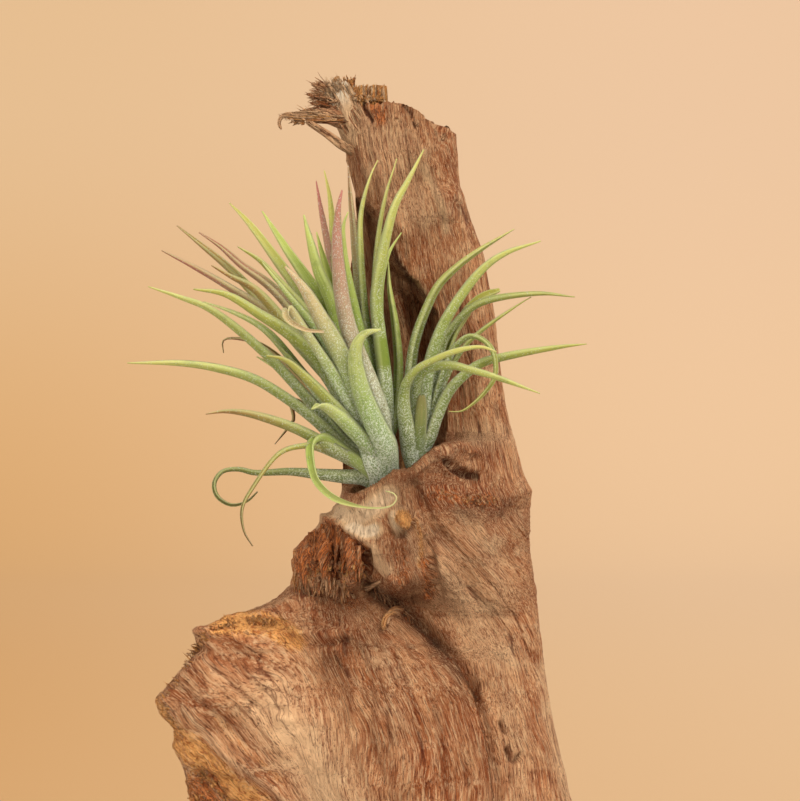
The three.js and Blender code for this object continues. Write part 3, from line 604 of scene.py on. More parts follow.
@dataclass(frozen=True)
class LeafFinish:
    """A leaf of an air plant: its tones by mark, under a scurf of fine silver scales."""

    scurf: Colour = from_screen(228, 232, 208)
    bloom: Colour = from_screen(188, 200, 160)
    margin: Colour = from_screen(212, 214, 150)
    shade: Colour = from_screen(96, 116, 46)
    blotch: Texture = Texture(4, 0.65, scale=260)
    blotch_span: Span = (0.48, 0.3)
    blotch_cover: float = 0.3
    veins: Texture = Texture(2, 0.5, stretch=(16.0, 1.0, 0.12))
    vein_coat: Coat = Coat((0.5, 0.34), 0.36, shade)
    vein_height: float = 0.12
    patch_gain: float = 0.8
    patch_least: float = 0.62
    bloom_coat: Coat = Coat((0.25, 1.0), 0.16, bloom)
    scales_per_metre: float = 2700
    scale_share: Span = (0.0, 0.1)
    scale_span: Span = (0.5, 0.26)
    scale_height: float = 0.08
    clumps: Texture = Texture(3, 0.6, scale=1900)
    clump_gain: float = 0.2
    clump_span: Span = (0.66, 0.74)
    scurf_gain: float = 0.5
    scurf_least: float = 0.34
    edge_coat: Coat = Coat((0.8, 1.0), 0.35, margin)
    roughness: float = 0.5
    specular: float = 0.3
    glow: float = 0.12
    glow_reach: Point = (0.6, 1.0, 0.3)
    glow_depth: float = 1.2
    sheen: float = 0.12
    sheen_roughness: float = 0.6

    def make(self) -> Material:
        """Lays out the leaf's nodes.

        Returns:
            The finished material.
        """
        sketch = NodeSketch("leaf_scurf")
        place = sketch.node("ShaderNodeTexCoord").outputs["Object"]
        scurf = sketch.mark("scurf")
        blotch = sketch.noise(place, self.blotch)
        veins = sketch.noise(sketch.mark("strip", vector=True), self.veins)
        cover = sketch.times(sketch.ease(blotch, *self.blotch_span), self.blotch_cover)
        colour = sketch.blend(cover, sketch.mark("tone", vector=True), self.shade, "MULTIPLY")
        colour = sketch.coat(colour, veins, self.vein_coat)
        patchy = sketch.work("MULTIPLY_ADD", blotch, self.patch_gain, self.patch_least)
        patchy = sketch.times(scurf, patchy)
        colour = sketch.coat(colour, patchy, self.bloom_coat)
        distance, chance = sketch.cells(place, self.scales_per_metre)
        present = sketch.ease(sketch.work("SUBTRACT", patchy, chance), *self.scale_share)
        small = sketch.times(present, sketch.ease(distance, *self.scale_span))
        clump = sketch.work("MULTIPLY_ADD", patchy, self.clump_gain, sketch.noise(place, self.clumps))
        flake = sketch.work("MAXIMUM", small, sketch.ease(clump, *self.clump_span))
        strength = sketch.work("MULTIPLY_ADD", scurf, self.scurf_gain, self.scurf_least)
        colour = sketch.blend(sketch.times(flake, strength), colour, self.scurf)
        colour = sketch.coat(colour, sketch.mark("edge"), self.edge_coat)
        sketch.set_inputs(sketch.shader, {
            "Base Color": colour,
            "Roughness": self.roughness,
            "Specular IOR Level": self.specular,
            "Subsurface Weight": self.glow,
            "Subsurface Radius": self.glow_reach,
            "Subsurface Scale": self.glow_depth * MM,
            "Sheen Weight": self.sheen,
            "Sheen Roughness": self.sheen_roughness,
            "Normal": sketch.bump(flake, self.scale_height, sketch.bump(veins, self.vein_height)),
        })
        return sketch.material


@dataclass(frozen=True)
class StudioFinish:
    """The matt peach paper of the studio sweep, with painted light: lighter to the right and upwards."""

    low_left: Colour = from_screen(177, 129, 67)
    low_right: Colour = from_screen(200, 167, 130)
    high_left: Colour = from_screen(184, 154, 119)
    high_right: Colour = from_screen(191, 162, 134)
    across_span: Span = (-0.42, 0.3)
    back_span: Span = (0.3, 3.8)
    back_share: float = 0.4
    rise_span: Span = (0.0, 0.4)
    rise_share: float = 0.6
    roughness: float = 0.95
    specular: float = 0.1

    def make(self) -> Material:
        """Lays out the paper's nodes: four soft tones that run into each other, the painted light of the
        sweep.

        Returns:
            The finished material.
        """
        sketch = NodeSketch("peach_paper")
        parts = sketch.node("ShaderNodeSeparateXYZ")
        sketch.feed(parts.inputs[0], sketch.node("ShaderNodeTexCoord").outputs["Object"])
        across = sketch.ease(parts.outputs["X"], *self.across_span)
        back = sketch.times(sketch.ease(parts.outputs["Y"], *self.back_span), self.back_share)
        rise = sketch.ease(parts.outputs["Z"], *self.rise_span)
        rise = sketch.work("MULTIPLY_ADD", rise, self.rise_share, back)
        # painted light: the low left darker and warmer, the right and the top lighter
        low = sketch.blend(across, self.low_left, self.low_right)
        high = sketch.blend(across, self.high_left, self.high_right)
        sketch.set_inputs(sketch.shader, {
            "Base Color": sketch.blend(rise, low, high),
            "Roughness": self.roughness,
            "Specular IOR Level": self.specular,
        })
        return sketch.material


# ---- driftwood


@dataclass(frozen=True)
class Relief:
    """A ridge (+) or groove (-) of the wood's front, along a path of (x, height)."""

    width: float
    stand_out: float
    path: Table


@dataclass(frozen=True)
class StainAndShading:
    """A patch of colour on the wood, for its real stains and for painted shade and painted light: which
    mark, how wide, how strong, how sharply it ends (2 is soft, 6 is sharp), and its path of (x, height).
    """

    mark: str
    width: float
    strength: float
    edge: float
    path: Table


def relief_rows(*rows: tuple[float, ...]) -> tuple[Relief, ...]:
    """Reads rows of a width, how far it stands out, and the path's x, height, x, height."""
    return tuple(Relief(*row[:2], tuple(zip(row[2::2], row[3::2]))) for row in rows)


def stain_and_shading_rows(mark: str, *rows: tuple[float, ...]) -> tuple[StainAndShading, ...]:
    """Reads a mark's rows of a width, a strength, an edge, and the path's x, height, x, height."""
    return tuple(StainAndShading(mark, *row[:3], tuple(zip(row[3::2], row[4::2]))) for row in rows)


@dataclass(frozen=True)
class WoodNoise:
    """A noise of the wood's form: its size along three axes, which it is, and its layers."""

    size: Point
    seed: int
    layers: int

    def at(self, places: Array) -> Array:
        """Reads it, as one value of about -1 to 1 per place."""
        return layered_noise(places / self.size, self.seed, self.layers)


@dataclass
class Driftwood:
    """The trunk, the fan at its foot, the torn ledge with the pit, and the broken top."""

    left_edge: Table = (
        (0, -54), (18, -55.7), (28, -57.7), (34, -60.6), (39, -60), (43, -64.4), (47, -65.6), (52, -61.3),
        (56, -58), (61, -53.6), (66.5, -54.6), (68.5, -49.4), (71, -45), (72.5, -37.4), (74.5, -31.6),
        (78, -27), (84, -26.4), (90, -26), (95, -21), (99, -16.8), (105, -12.6), (113, -12), (130, -12.2),
        (160, -11), (184, -8), (192, -8.6), (201, -11), (206, -11.4), (211, -13), (216, -15),
    )
    right_edge: Table = (
        (0, 57), (18, 53.4), (30, 50.3), (43, 47.7), (55, 45.7), (74, 43.4), (90, 41.7), (101.5, 41.4),
        (106.7, 42.3), (111, 39.7), (121, 37), (132.6, 34.3), (149.7, 32), (164, 30), (174, 28),
        (184, 24.3), (195.4, 21.4), (204, 21), (216, 20.4),
    )
    top_edge: Table = (
        (-16, 215.5), (-9, 216.5), (0, 217), (2.3, 216.6), (5.4, 216.3), (8.3, 215.4), (11.7, 212.4),
        (15, 210.4), (17.7, 210.8), (21, 207.5),
    )
    top_start: float = 190
    top_ring: float = 216
    spine: Table = ((0, -2), (75, 0), (110, 2), (216, 2))
    back_reach: Table = ((0, 26), (60, 22), (100, 19), (160, 15), (200, 12.5), (216, 11.5))
    trunk_centre: Table = (
        (0, 44), (30, 40), (55, 35), (75, 28), (100, 22), (120, 18), (150, 14), (180, 9), (216, 3),
    )
    trunk_width: Table = ((0, 17), (55, 16), (75, 19), (100, 24), (120, 25), (180, 20), (216, 19))
    trunk_reach: Table = (
        (0, 22), (40, 19), (75, 19), (100, 18), (120, 14), (150, 12.5), (180, 12), (216, 11),
    )
    fan_reach: Table = ((0, 33), (30, 31), (55, 28.5), (70, 25), (79, 21), (90, 10), (100, 0))
    fan_edge_reach: float = 0.42
    rim_height: Table = (
        (-28, 101), (-12.3, 105.5), (-2, 109.5), (2.3, 113), (8.6, 113.5), (15, 119), (24, 122), (44, 121),
    )
    ledge_reach: Table = (
        (-28, 12), (-20, 22.5), (-10, 31), (0, 35), (10, 34), (20, 29), (30, 21), (38, 10), (44, 2),
    )
    ledge_foot: Table = ((-28, 76), (-14, 79), (0, 77), (10, 80), (25, 86), (44, 88))
    ledge_fade: Table = ((-28, 8), (0, 10), (8, 10), (18, 34), (44, 40))
    hollow_edge: Table = (
        (112, 15), (125, 18), (145, 17.5), (157, 15.5), (161, 12), (166, 10), (168, 7), (173, 4),
        (178, 2.3), (186, -1.7), (190, -6), (192, -14),
    )
    hollow_reach: float = -4.5
    hollow_lip: float = 3.2
    pit_centre: Point = (1.5, -14.5, 115)
    pit_radius: Point = (17, 10.5, 12)
    crevice: Table = ((0, 32), (18, 31), (35, 28.6), (49, 25.4), (59, 19), (66.3, 11), (74.3, 3.4), (79, -3))
    reliefs: tuple[Relief, ...] = relief_rows(
        (3, -9, 14, 63.6, 8, 69.4, 3.4, 74.3, -3, 79),
        (2.7, -5, 25.4, 49, 19, 59, 17.6, 60.3),
        (2.4, -3, 32, 0, 31, 18, 28.6, 35, 26.4, 45),
        (2.8, 5, 5.7, 98.6, 5.9, 98.5),
        (4.6, 4.6, 4.6, 92, 5, 86, 4.8, 82),
        (1.6, -2.2, -2, 84.5, 0, 80.5, 4, 77.6, 9, 76.5, 12, 79),
        (2.2, -2.6, 8.3, 108, 12.6, 98.5, 11.9, 88.6, 13.4, 79),
        (4.5, 2.5, -12, 104, -4, 103, -1, 97),
        (1.9, -5, -13, 91, -12.6, 82),
        (2, -5, -4.6, 87, -4.9, 80),
        (2, -4, -21, 92, -20, 82),
        (2.4, -4, -17, 86, -17.2, 84),
        (1.6, -2.6, 18.6, 114.6, 21, 112.6, 25, 110.6),
        (1.7, 3, 18.5, 113, 18.7, 112.8),
        (4, 2.5, 14, 107, 22, 104, 31, 103),
        (3.5, 4, 40, 107, 38, 106),
        (3, -2.5, 33, 99, 41, 101),
        (3, 7, 4.4, 161, 5.6, 150, 6.6, 130),
        (2.2, 1.8, 13.6, 201, 16.2, 192, 18.4, 186),
        (1.8, -2.2, 20.5, 188, 23, 184),
        (1.8, -1.8, 31.5, 131.5, 32.4, 127.5),
        (9, -4, -17, 55, -14, 50),
        (7, 3.5, -1, 70, 2, 48, 8, 24, 10, 0),
        (5, 2, -10, 68, -32, 36, -44, 8),
        (3.4, -2, -16, 70, -46, 52),
        (5, 2, 31, 80, 35, 50, 40, 20),
        (4, 1.6, 24, 170, 27, 140, 32, 112),
        (3.2, 1.4, 15, 100, 24, 92, 30, 84, 34, 74),
        (2.4, 1.5, 14, 88, 20, 78, 27, 66),
        (1.8, 1.6, -57, 45, -46.3, 32.6, -39, 27.4, -27.4, 19),
        (5, -2.6, -55, 30, -44, 20, -34, 8),
        (2.6, -2, -46, 69, -38, 68.5, -30, 67),
        (2.2, -1.6, -24, 78, -16, 77),
    )
    swells: tuple[Point, ...] = ((0.31, 0.17, 1.2), (-0.22, 0.36, 0), (0.12, -0.28, 2))
    swell_height: float = 0.55
    fine_reliefs: tuple[Relief, ...] = relief_rows(
        (0.7, -1.4, -7.4, 217.7, -5.4, 213.6, -4, 211.4),
        (0.7, -1.5, 17, 115.6, 19.4, 112.8, 22, 111.6, 25.8, 110.8),
        (1.4, 1.1, 16.4, 117.4, 20.4, 115.2, 25.6, 113.2),
        (0.9, -1, 2.9, 60, 7, 50, 10, 35.4, 12.3, 19.7),
        (0.9, -1.1, 7.1, 64, 12.3, 52.6, 15.7, 38.3, 18, 21),
        (0.9, -1, 12.9, 61, 18.6, 49.7, 22, 35.4, 23.7, 19.7),
        (1, -0.9, -2.9, 57, 0, 47, 1.4, 35.4),
        (1.1, 0.8, 5.4, 56, 9.6, 44, 12.8, 28, 14, 14),
        (1.1, 0.8, 10, 58, 15, 46, 18.6, 30, 20, 14),
        (0.9, -0.9, -50, 57, -44, 52.4, -37, 46),
        (0.8, -0.8, -42, 61, -34, 58, -26, 54),
        (1.1, 0.7, -47, 52, -38, 44, -28, 32),
        (0.7, -1.5, 5.2, 215.4, 7.6, 214.4, 8.7, 211.4),
        (1.3, -0.9, 15, 210, 13, 202, 16, 194),
        (1.6, 0.9, -3, 206, 0, 192, 5, 180),
        (1.2, 0.8, 18, 205, 20, 190, 24, 176),
        (1.5, 1.2, 9, 113.5, 14, 117.5, 21, 119.5, 27, 117, 29, 112),
        (2, 1.3, -15, 78.6, -14.4, 76),
        (2.2, 1.1, -20.4, 76.4, -19.6, 74.6),
        (1.5, 1.9, -18, 99, -12, 96.6, -8.4, 93.6, -4.6, 92),
        (0.9, -1.8, -16, 96.6, -11.4, 94.6, -8, 92, -5, 90.6),
        (2.3, 1.7, 4.2, 98.4, 4.8, 98.2),
        (0.8, -1.6, 1.2, 96.4, 3, 94.6, 6, 94.5, 8, 96.6, 8.4, 100),
        (1.2, -3, -13.3, 93, -13, 88, -13.6, 82.6),
        (1.1, -2.6, -5.4, 88, -5.8, 81),
        (1.7, -2.6, -16.8, 87.6, -17, 83),
        (0.8, -1.2, -4.6, 91, -5, 85.6, -1.4, 82),
        (1.1, 1.1, -55, 67, -46.3, 66, -40, 64, -34.9, 62, -26, 62),
        (1.7, 1.5, -19.6, 71.6, -19.2, 71.2),
        (1.4, 1.4, -25, 66.5, -18, 66, -11.4, 67),
        (1.3, -1.2, -24, 63.5, -16, 63, -10, 64),
        (0.9, 0.9, -30, 46.5, -26.5, 45.5, -26.5, 42, -29.5, 42.5),
        (0.9, -0.7, -28, 49, -23.5, 46.5, -24, 40),
        (1.6, 1.1, -12, 62, -8, 50, -9, 38, -4, 24),
        (1.2, -0.9, -7, 62, -3.5, 50, -5, 38, 0, 24),
        (1.1, -1.3, -53, 62, -44, 58, -35, 50),
        (1.2, -1.2, -60, 52, -50, 44, -38, 34),
        (1.6, -1.2, 16, 95, 22, 86, 26, 76),
        (0.9, -2.2, 34.5, 33.5, 35.5, 31),
        (0.8, -2, 37, 30.5, 38.4, 32),
        (0.8, -1.8, 32.6, 41, 33.6, 38.5),
        (0.7, -1.6, 35.4, 26, 36, 24),
        (1.5, 1.2, 28, 50, 32, 38, 34.5, 22, 35.5, 4),
        (1.3, -1.2, 12.9, 88, 15.5, 76),
        (0.9, 1.2, 1.6, 82.5, 4, 80.5, 6.5, 82.5, 5, 85),
        (1.1, 1.2, 16, 146, 13, 135, 11, 124),
        (1.4, 1.5, 1.5, 176, 3, 160, 4, 140),
        (1.6, 1.2, -6, 186, -4, 165, -5, 140),
    )
    stains_and_shading: tuple[StainAndShading, ...] = (
        *stain_and_shading_rows("orange",
            (3.8, 1, 3, -47, 69, -38, 69.4, -31, 68, -26, 64.6),
            (4.6, 1, 3, -61, 37, -56, 34, -47, 25, -36, 17, -28, 9),
            (8, 0.9, 3, -56, 18, -46, 8, -32, 2),
            (1.3, 0.6, 2, -26.2, 89, -26, 81),
            (2.4, 0.7, 2, -65.6, 47, -61, 39.5),
            (2.1, 0.95, 3, 5, 99.8, 6.8, 98.2),
            (1.8, 0.8, 2, 6, 116, 8, 115.6),
            (1.3, 0.6, 2, 8.6, 99, 10.4, 93, 10, 86),
            (1.6, 0.4, 2, -48, 42, -40, 34, -28, 24),
            (2.4, 0.5, 2, -24.6, 86, -21, 82.4, -13, 82.6),
        ),
        *stain_and_shading_rows("rust",
            (6, 0.9, 2, -51, 22, -48, 12, -42, 6),
            (4.4, 1, 3, -21, 92, -22.6, 85.6),
            (4.6, 1, 3, -15, 94, -15.4, 85),
            (3.2, 1, 3, -8, 90, -7.4, 84),
            (3, 0.62, 2, -13, 82, -9.5, 75),
            (3, 0.6, 2, -21, 82, -16, 81),
            (3.4, 0.55, 2, 14, 106.5, 22, 104.5, 31, 104),
            (2.4, 0.66, 2, 11.5, 87, 12.4, 77),
            (3.6, 0.5, 2, 4.6, 90, 5.6, 84, 3, 80),
            (2.8, 0.75, 2, -3.4, 216, -1.4, 212),
            (3, 0.4, 2, 22, 119, 28, 117),
            (2.2, 0.4, 2, 19, 59, 25, 49, 28, 38),
        ),
        *stain_and_shading_rows("pale",
            (0.8, 0.6, 2, -57, 44.6, -46.3, 32.2, -39, 27, -27.4, 18.6),
            (0.9, 0.85, 2, -14.4, 101, -18.4, 97, -24.4, 93.4, -26.2, 89),
            (3.4, 1.22, 6, -12.6, 100.4, -8, 99, -3, 102.4, 1, 105.6),
            (2.6, 1.32, 6, -9, 96.6, -5.4, 95, -3, 96),
            (2, 0.9, 4, -3.6, 90.4, -2.2, 86.6, 0.4, 84.8),
            (1.9, 1.2, 5, 2.8, 100, 3.4, 97),
            (4, 0.35, 2, 32, 60, 36, 40, 39, 18),
            (1.4, 0.9, 2, 11, 200, 14, 193, 16.5, 186, 17.5, 181),
            (2.2, 0.6, 2, 52, 20, 47, 44, 45, 56),
            # painted light: lightens the shading edge where the ledge's top meets the trunk
            (3.4, 0.5, 2, 25, 122.6, 33, 122.8, 41, 122.4),
            (9, 0.86, 2, -31, 46, -25, 38, -18, 24, -10, 8),
            (3.6, 0.25, 2, -46, 54, -36, 49, -28, 44),
            (6, 0.5, 2, 2, 207, 6, 197, 8, 186),
            (7, 0.55, 2, 16, 84, 22, 76, 30, 62),
            (4, 0.4, 2, 24, 98, 30, 88, 33, 76),
            (3, 0.5, 2, -6, 212, -2, 200, 3, 188),
        ),
        # darker wood, with painted shade: the rows under the torn faces and the ledge, along the crevice, in
        # the fan's soft hollow and along the fine grooves darken where shade falls
        *stain_and_shading_rows("dark_wood_and_painted_shade",
            (4.4, 1.2, 2, 13, 107, 22, 104.6, 32, 103.6),
            (4, 0.5, 2, 5, 112, 12, 111, 20, 108.6),
            (4.6, 0.8, 2, 12, 117.5, 20, 120.5, 28, 118),
            (4, 0.7, 2, 15, 113, 25, 110),
            (2, 0.8, 2, 14.4, 93.6, 16.6, 92.4),
            (3.6, 0.6, 2, 33, 100, 41, 98),
            (4, 0.4, 2, 17, 206, 20, 192, 24, 180),
            (3, 0.2, 2, 8, 198, 10, 180, 18, 160),
            (3.6, 0.4, 2, -3, 210, 0, 205, 6, 207),
            (5, 0.7, 2, 4.6, 91, 5, 85, 4, 80),
            (1.6, 0.6, 2, -11, 211, -8, 203, -6.6, 194),
            (3.4, 0.5, 2, -21, 79, -12, 77),
            (2.6, 0.5, 2, -24, 77.6, -18, 76),
            (5, 0.6, 2, -18, 71, -10, 70, -4, 66),
            (3.6, 0.55, 2, -16.5, 66, -14.5, 57),
            (4, 0.4, 2, 0, 66, 3, 50, 8, 30),
            (4, 0.45, 2, 16, 60, 22, 50, 26, 36),
            (1.6, 0.6, 2, 19, 59, 25.4, 49, 28.6, 35, 31, 18, 32, 0),
            (4, 0.25, 2, 8, 126, 20, 134, 24, 150),
            (0.8, 0.5, 2, 2.9, 60, 7, 50, 10, 35.4, 12.3, 19.7),
            (0.9, 0.55, 2, 7.1, 64, 12.3, 52.6, 15.7, 38.3, 18, 21),
            (0.8, 0.5, 2, 12.9, 61, 18.6, 49.7, 22, 35.4, 23.7, 19.7),
            (0.9, 0.45, 2, -2.9, 57, 0, 47, 1.4, 35.4),
            (0.9, 0.6, 2, -50, 57, -44, 52.4, -37, 46),
            (0.8, 0.6, 2, -42, 61, -34, 58, -26, 54),
            (0.7, 0.5, 2, -47, 59, -40, 55),
            (4.4, 0.35, 2, -57, 56, -48, 60, -40, 56),
            (3, 0.3, 2, -62, 44, -55, 45, -48, 39),
        ),
        # painted shade: darkening in the hollow, the crevice, the slots of the torn faces, the slit, the
        # grooves and the pits, where shade falls
        *stain_and_shading_rows("painted_recess_shade",
            (5, 0.3, 2, -2, 182, -1, 160, 0, 128),
            (0.9, 0.95, 2, 2.6, 175.4, 4.6, 171, 7.4, 166.6, 11, 162.4, 14, 157.4),
            (1.8, 0.35, 2, 13, 156, 13.8, 145, 13, 126),
            (1.0, 0.95, 2, -5.4, 88, -5.8, 81),
            (1.0, 0.95, 2, -13.3, 93, -13, 88, -13.6, 82.4),
            (1.5, 0.95, 3, -16.8, 87.4, -17, 83.4),
            (1.5, 0.75, 3, -24.4, 78.4, -20, 78),
            (0.5, 0.7, 2, -15, 96.2, -11.4, 94.6, -8, 92, -5, 90.6),
            (0.55, 0.75, 2, 3, 94.3, 6, 94.2, 8.2, 96.4, 8.8, 99),
            (0.6, 0.9, 2, 5.2, 215.4, 7.6, 214.6, 8.7, 211.2),
            (1.7, 0.8, 2, -2, 78, 3.4, 74.3, 11, 66.3, 15, 62.6),
            (0.75, 0.95, 3, 17, 115.6, 19.4, 112.8, 22, 111.6, 25.6, 110.8),
            (1.8, 0.8, 2, 13, 64.4, 17.4, 59, 21, 54),
            (1.0, 0.8, 2, 20.5, 187.5, 23, 184),
            (0.9, 0.6, 2, 31.6, 131, 32.2, 128),
            (0.8, 0.8, 2, 34.5, 33.5, 35.5, 31),
            (0.7, 0.8, 2, 37, 30.5, 38.4, 32),
            (0.7, 0.7, 2, 32.6, 41, 33.6, 38.5),
        ),
        *stain_and_shading_rows("crack",
            (0.6, 1.2, 2, -8.2, 218.4, -6, 214.4, -4, 211.4),
            (0.4, 0.5, 2, -4, 211.4, -2.6, 206, -1.4, 201, 0, 196),
            (0.45, 0.6, 2, 2.9, 61, 5.4, 55.6, 7.7, 49.7, 9, 44),
            (0.5, 0.8, 2, 9.7, 38.9, 10.6, 35.4, 10.9, 32),
            (0.45, 0.55, 2, 14.9, 49.7, 17, 43.6, 18.4, 37),
        ),
    )
    trunk_spread: float = 1.25
    trunk_roundness: float = 0.6
    fan_crest: float = 0.8
    fan_roundness: float = 0.8
    fan_turn: float = 0.75
    fan_fall: float = 0.6
    fan_top: float = 79
    rim_blend: Span = (-1.5, 4.5)
    foot_blend: float = 5
    merging: float = 5
    pit_below: float = 8
    pit_above: float = 6
    edge_fullness: float = 2.6
    edge_crowding: float = 0.65
    back_softness: float = 14
    back_lean: float = 0.22
    back_swells: tuple[tuple[float, float, float, float], ...] = (
        (0.09, 0.17, 0, 0.8), (0.04, 0.29, 0.03, 0), (0.04, 0, 0.07, 0),
    )
    front_columns: int = 280
    back_columns: int = 84
    edge_turn: float = 0.0003
    row_stretches: tuple[tuple[float, float, int], ...] = (
        (0, 60, 112), (60, 100, 100), (100, 124, 62), (124, 190, 110), (190, 216, 52),
    )
    wrap: float = 6
    flow_steps: int = 30
    crevice_pull: Span = (-26, -4)
    crevice_step: float = 5
    left_span: Span = (14, 40)
    left_slope: float = 0.95
    middle_slope: float = 0.22
    middle_wave: Point = (0.3, 0.16, 0.05)
    trunk_step: float = 6
    swirl_height: Span = (90, 17)
    swirl_span: Span = (4, 18)
    swirl_slope: float = 0.75
    curl_height: Span = (114, 6)
    curl_place: Span = (17, 9)
    curl_slope: float = -0.5
    steep_span: Span = (0.6, 0.92)
    side_span: Span = (0.1, 0.9)
    warp: WoodNoise = WoodNoise((14, 14, 14), 5, 2)
    warp_by: Point = (1.3, 0.5, 2)
    fan_shift: float = 90
    grain_rate: float = 1.1
    place_noises: tuple[tuple[str, WoodNoise], ...] = (
        ("lumps", WoodNoise((8, 8, 8), 3, 3)),
        ("chunks", WoodNoise((2.0, 2.0, 3.2), 37, 3)),
        ("crumbs", WoodNoise((1.7, 1.7, 1.7), 33, 3)),
    )
    grain_noises: tuple[tuple[str, WoodNoise], ...] = (
        ("ridges", WoodNoise((2.2, 2.8, 22), 11, 3)),
        ("fibres", WoodNoise((1.0, 1.2, 9), 21, 2)),
        ("ribs", WoodNoise((2.3, 2.3, 14), 31, 3)),
        ("split", WoodNoise((3.4, 40, 44), 61, 2)),
        ("weathered", WoodNoise((12, 30, 36), 71, 2)),
        ("rag", WoodNoise((1.3, 1.3, 60), 41, 2)),
    )
    plain_heights: Heights = (("lumps", 0.4), ("ridges", 0.5), ("fibres", 0.26))
    skinned_heights: Heights = (("chunks", 0.8), ("crumbs", 0.5))
    rust_heights: Heights = (("ribs", 1.8), ("steps", 0.5), ("crumbs", 0.5))
    orange_heights: Heights = (("crumbs", 0.6), ("steps", 0.4), ("fibres", 0.4))
    chunk_steps: int = 3
    skinned_span: Span = (0.7, 1)
    split_width: float = 0.05
    split_strength: float = 0.8
    weathered_span: Span = (0, 0.5)
    crack_depth: float = 0.6
    rust_depth: float = 0.5
    rust_edge: float = 0.15
    rust_inward: float = 7
    foot_calm: float = 1.5
    top_calm: Span = (205, 216)
    top_calmed: float = 0.5
    top_rag: float = 1.5

    def front_reach(self, x: Array, height: Array) -> Array:
        """Works out how far the wood's front stands out from its spine.

        Args:
            x: places across.
            height: places up.

        Returns:
            The reach of each place.
        """
        half = look_up(self.trunk_width, height) * self.trunk_spread
        offset = (x - look_up(self.trunk_centre, height)) / half
        trunk = look_up(self.trunk_reach, height) * np.maximum(0, 1 - offset**2) ** self.trunk_roundness
        left = look_up(self.left_edge, height)
        across = (x - left) / (look_up(self.crevice, height) - left)
        across = np.clip(across, 0, self.fan_turn + self.fan_fall)
        rise = np.minimum(1, across / self.fan_crest) ** self.fan_roundness
        rise = self.fan_edge_reach + (1 - self.fan_edge_reach) * rise
        fall = np.sqrt(np.maximum(0, 1 - (np.maximum(0, across - self.fan_turn) / self.fan_fall) ** 2))
        fan = look_up(self.fan_reach, height) * rise * fall
        rim = look_up(self.rim_height, x)
        foot = look_up(self.ledge_foot, x)
        below, above = self.rim_blend
        shelf = 1 - smoothstep(height, rim + below, rim + above)
        shelf *= smoothstep(height, foot - look_up(self.ledge_fade, x), foot + self.foot_blend)
        ledge = look_up(self.ledge_reach, x) * shelf
        reach = sum(np.maximum(part, 0) ** self.merging for part in (trunk, fan, ledge))
        reach **= 1 / self.merging
        inside = smoothstep(look_up(self.hollow_edge, height) - x, 0, self.hollow_lip)
        inside *= smoothstep(height, rim, rim + above) * (height > self.pit_centre[2] - self.pit_below)
        reach += (self.hollow_reach - reach) * inside
        for relief in self.reliefs:
            reach += relief.stand_out * fade(distance_to_path(relief.path, x, height), relief.width)
        for rate, climb, start in self.swells:
            reach += self.swell_height * np.sin(rate * x + climb * height + start)
        return reach

    def fullness(self, across: Array) -> Array:
        """Gives how far the section has rounded out at a share across it."""
        return np.maximum(0, 1 - np.abs(2 * across - 1) ** self.edge_fullness) ** (1 / self.edge_fullness)

    def soft_edge(self, table: Table, height: Array, spread: Array) -> Array:
        """Averages an edge over a spread up and down."""
        return sum(look_up(table, height + shift * spread) for shift in (-1, -0.5, 0, 0.5, 1)) / 5

    def slope_of(self, table: Table, height: Array, step: float) -> Array:
        """Says how far to the right a line of the wood runs for each millimetre down."""
        return -(look_up(table, height + step) - look_up(table, height - step)) / (2 * step)

    def front_depth(self, x: Array, height: Array) -> Array:
        """Gives the y of the wood's front at places seen from the front."""
        left = look_up(self.left_edge, height)
        across = np.clip((x - left) / (look_up(self.right_edge, height) - left), 0, 1)
        return look_up(self.spine, height) - self.front_reach(x, height) * self.fullness(across)

    def body_grid(self) -> tuple[Array, Array]:
        """Lays out the trunk's surface as level rings.

        Returns:
            The places of shape (rows, columns, 3), and which of them are on the front.
        """
        heights = [np.linspace(low, high, count, endpoint=False) for low, high, count in self.row_stretches]
        rows = np.concatenate([*heights, [self.top_ring]])[:, None]
        left, right = look_up(self.left_edge, rows), look_up(self.right_edge, rows)
        share = np.linspace(0, 1, self.front_columns)[None, :]
        crowded = 0.5 - 0.5 * np.cos(np.pi * share)
        x = left + (right - left) * (share + (crowded - share) * self.edge_crowding)
        height = np.broadcast_to(rows, x.shape)
        front = np.stack([x, self.front_depth(x, height), height], axis=-1)
        turn = np.linspace(0, 1, self.back_columns + 2)
        turn[[0, -1]] = self.edge_turn, 1 - self.edge_turn
        share = 0.5 + 0.5 * np.cos(np.pi * turn[None, :])
        full = self.fullness(share) * np.ones_like(rows)
        left = self.soft_edge(self.left_edge, rows, self.back_softness * full)
        right = self.soft_edge(self.right_edge, rows, self.back_softness * full)
        x = left + (right - left) * share
        lean = x + rows * self.back_lean
        swell = np.ones_like(x)
        for stand_out, rate, climb, start in self.back_swells:
            swell += stand_out * np.sin(rate * lean + climb * rows + start)
        y = look_up(self.spine, rows) + look_up(self.back_reach, rows) * full * swell
        back = np.stack([x, y, np.broadcast_to(rows, x.shape)], axis=-1)
        grid = np.concatenate([front, back], axis=1)
        on_front = np.arange(grid.shape[1])[None, :] < self.front_columns
        return grid, np.broadcast_to(on_front, grid.shape[:2])

    def fan_slope(self, x: Array, height: Array) -> Array:
        """Says how far to the right the fan's grain runs for each millimetre down.

        Args:
            x: places across.
            height: places up.

        Returns:
            The slope at each place.
        """
        crevice = look_up(self.crevice, height)
        beside = self.slope_of(self.crevice, height, self.crevice_step)
        start, end = self.crevice_pull
        near = smoothstep(x, crevice + start, crevice + end)
        left = smoothstep(-x, *self.left_span)
        wave, climb, rate = self.middle_wave
        middle = self.middle_slope + wave * np.sin(height * climb + x * rate)
        return near * beside + (1 - near) * (left * self.left_slope + (1 - left) * middle)

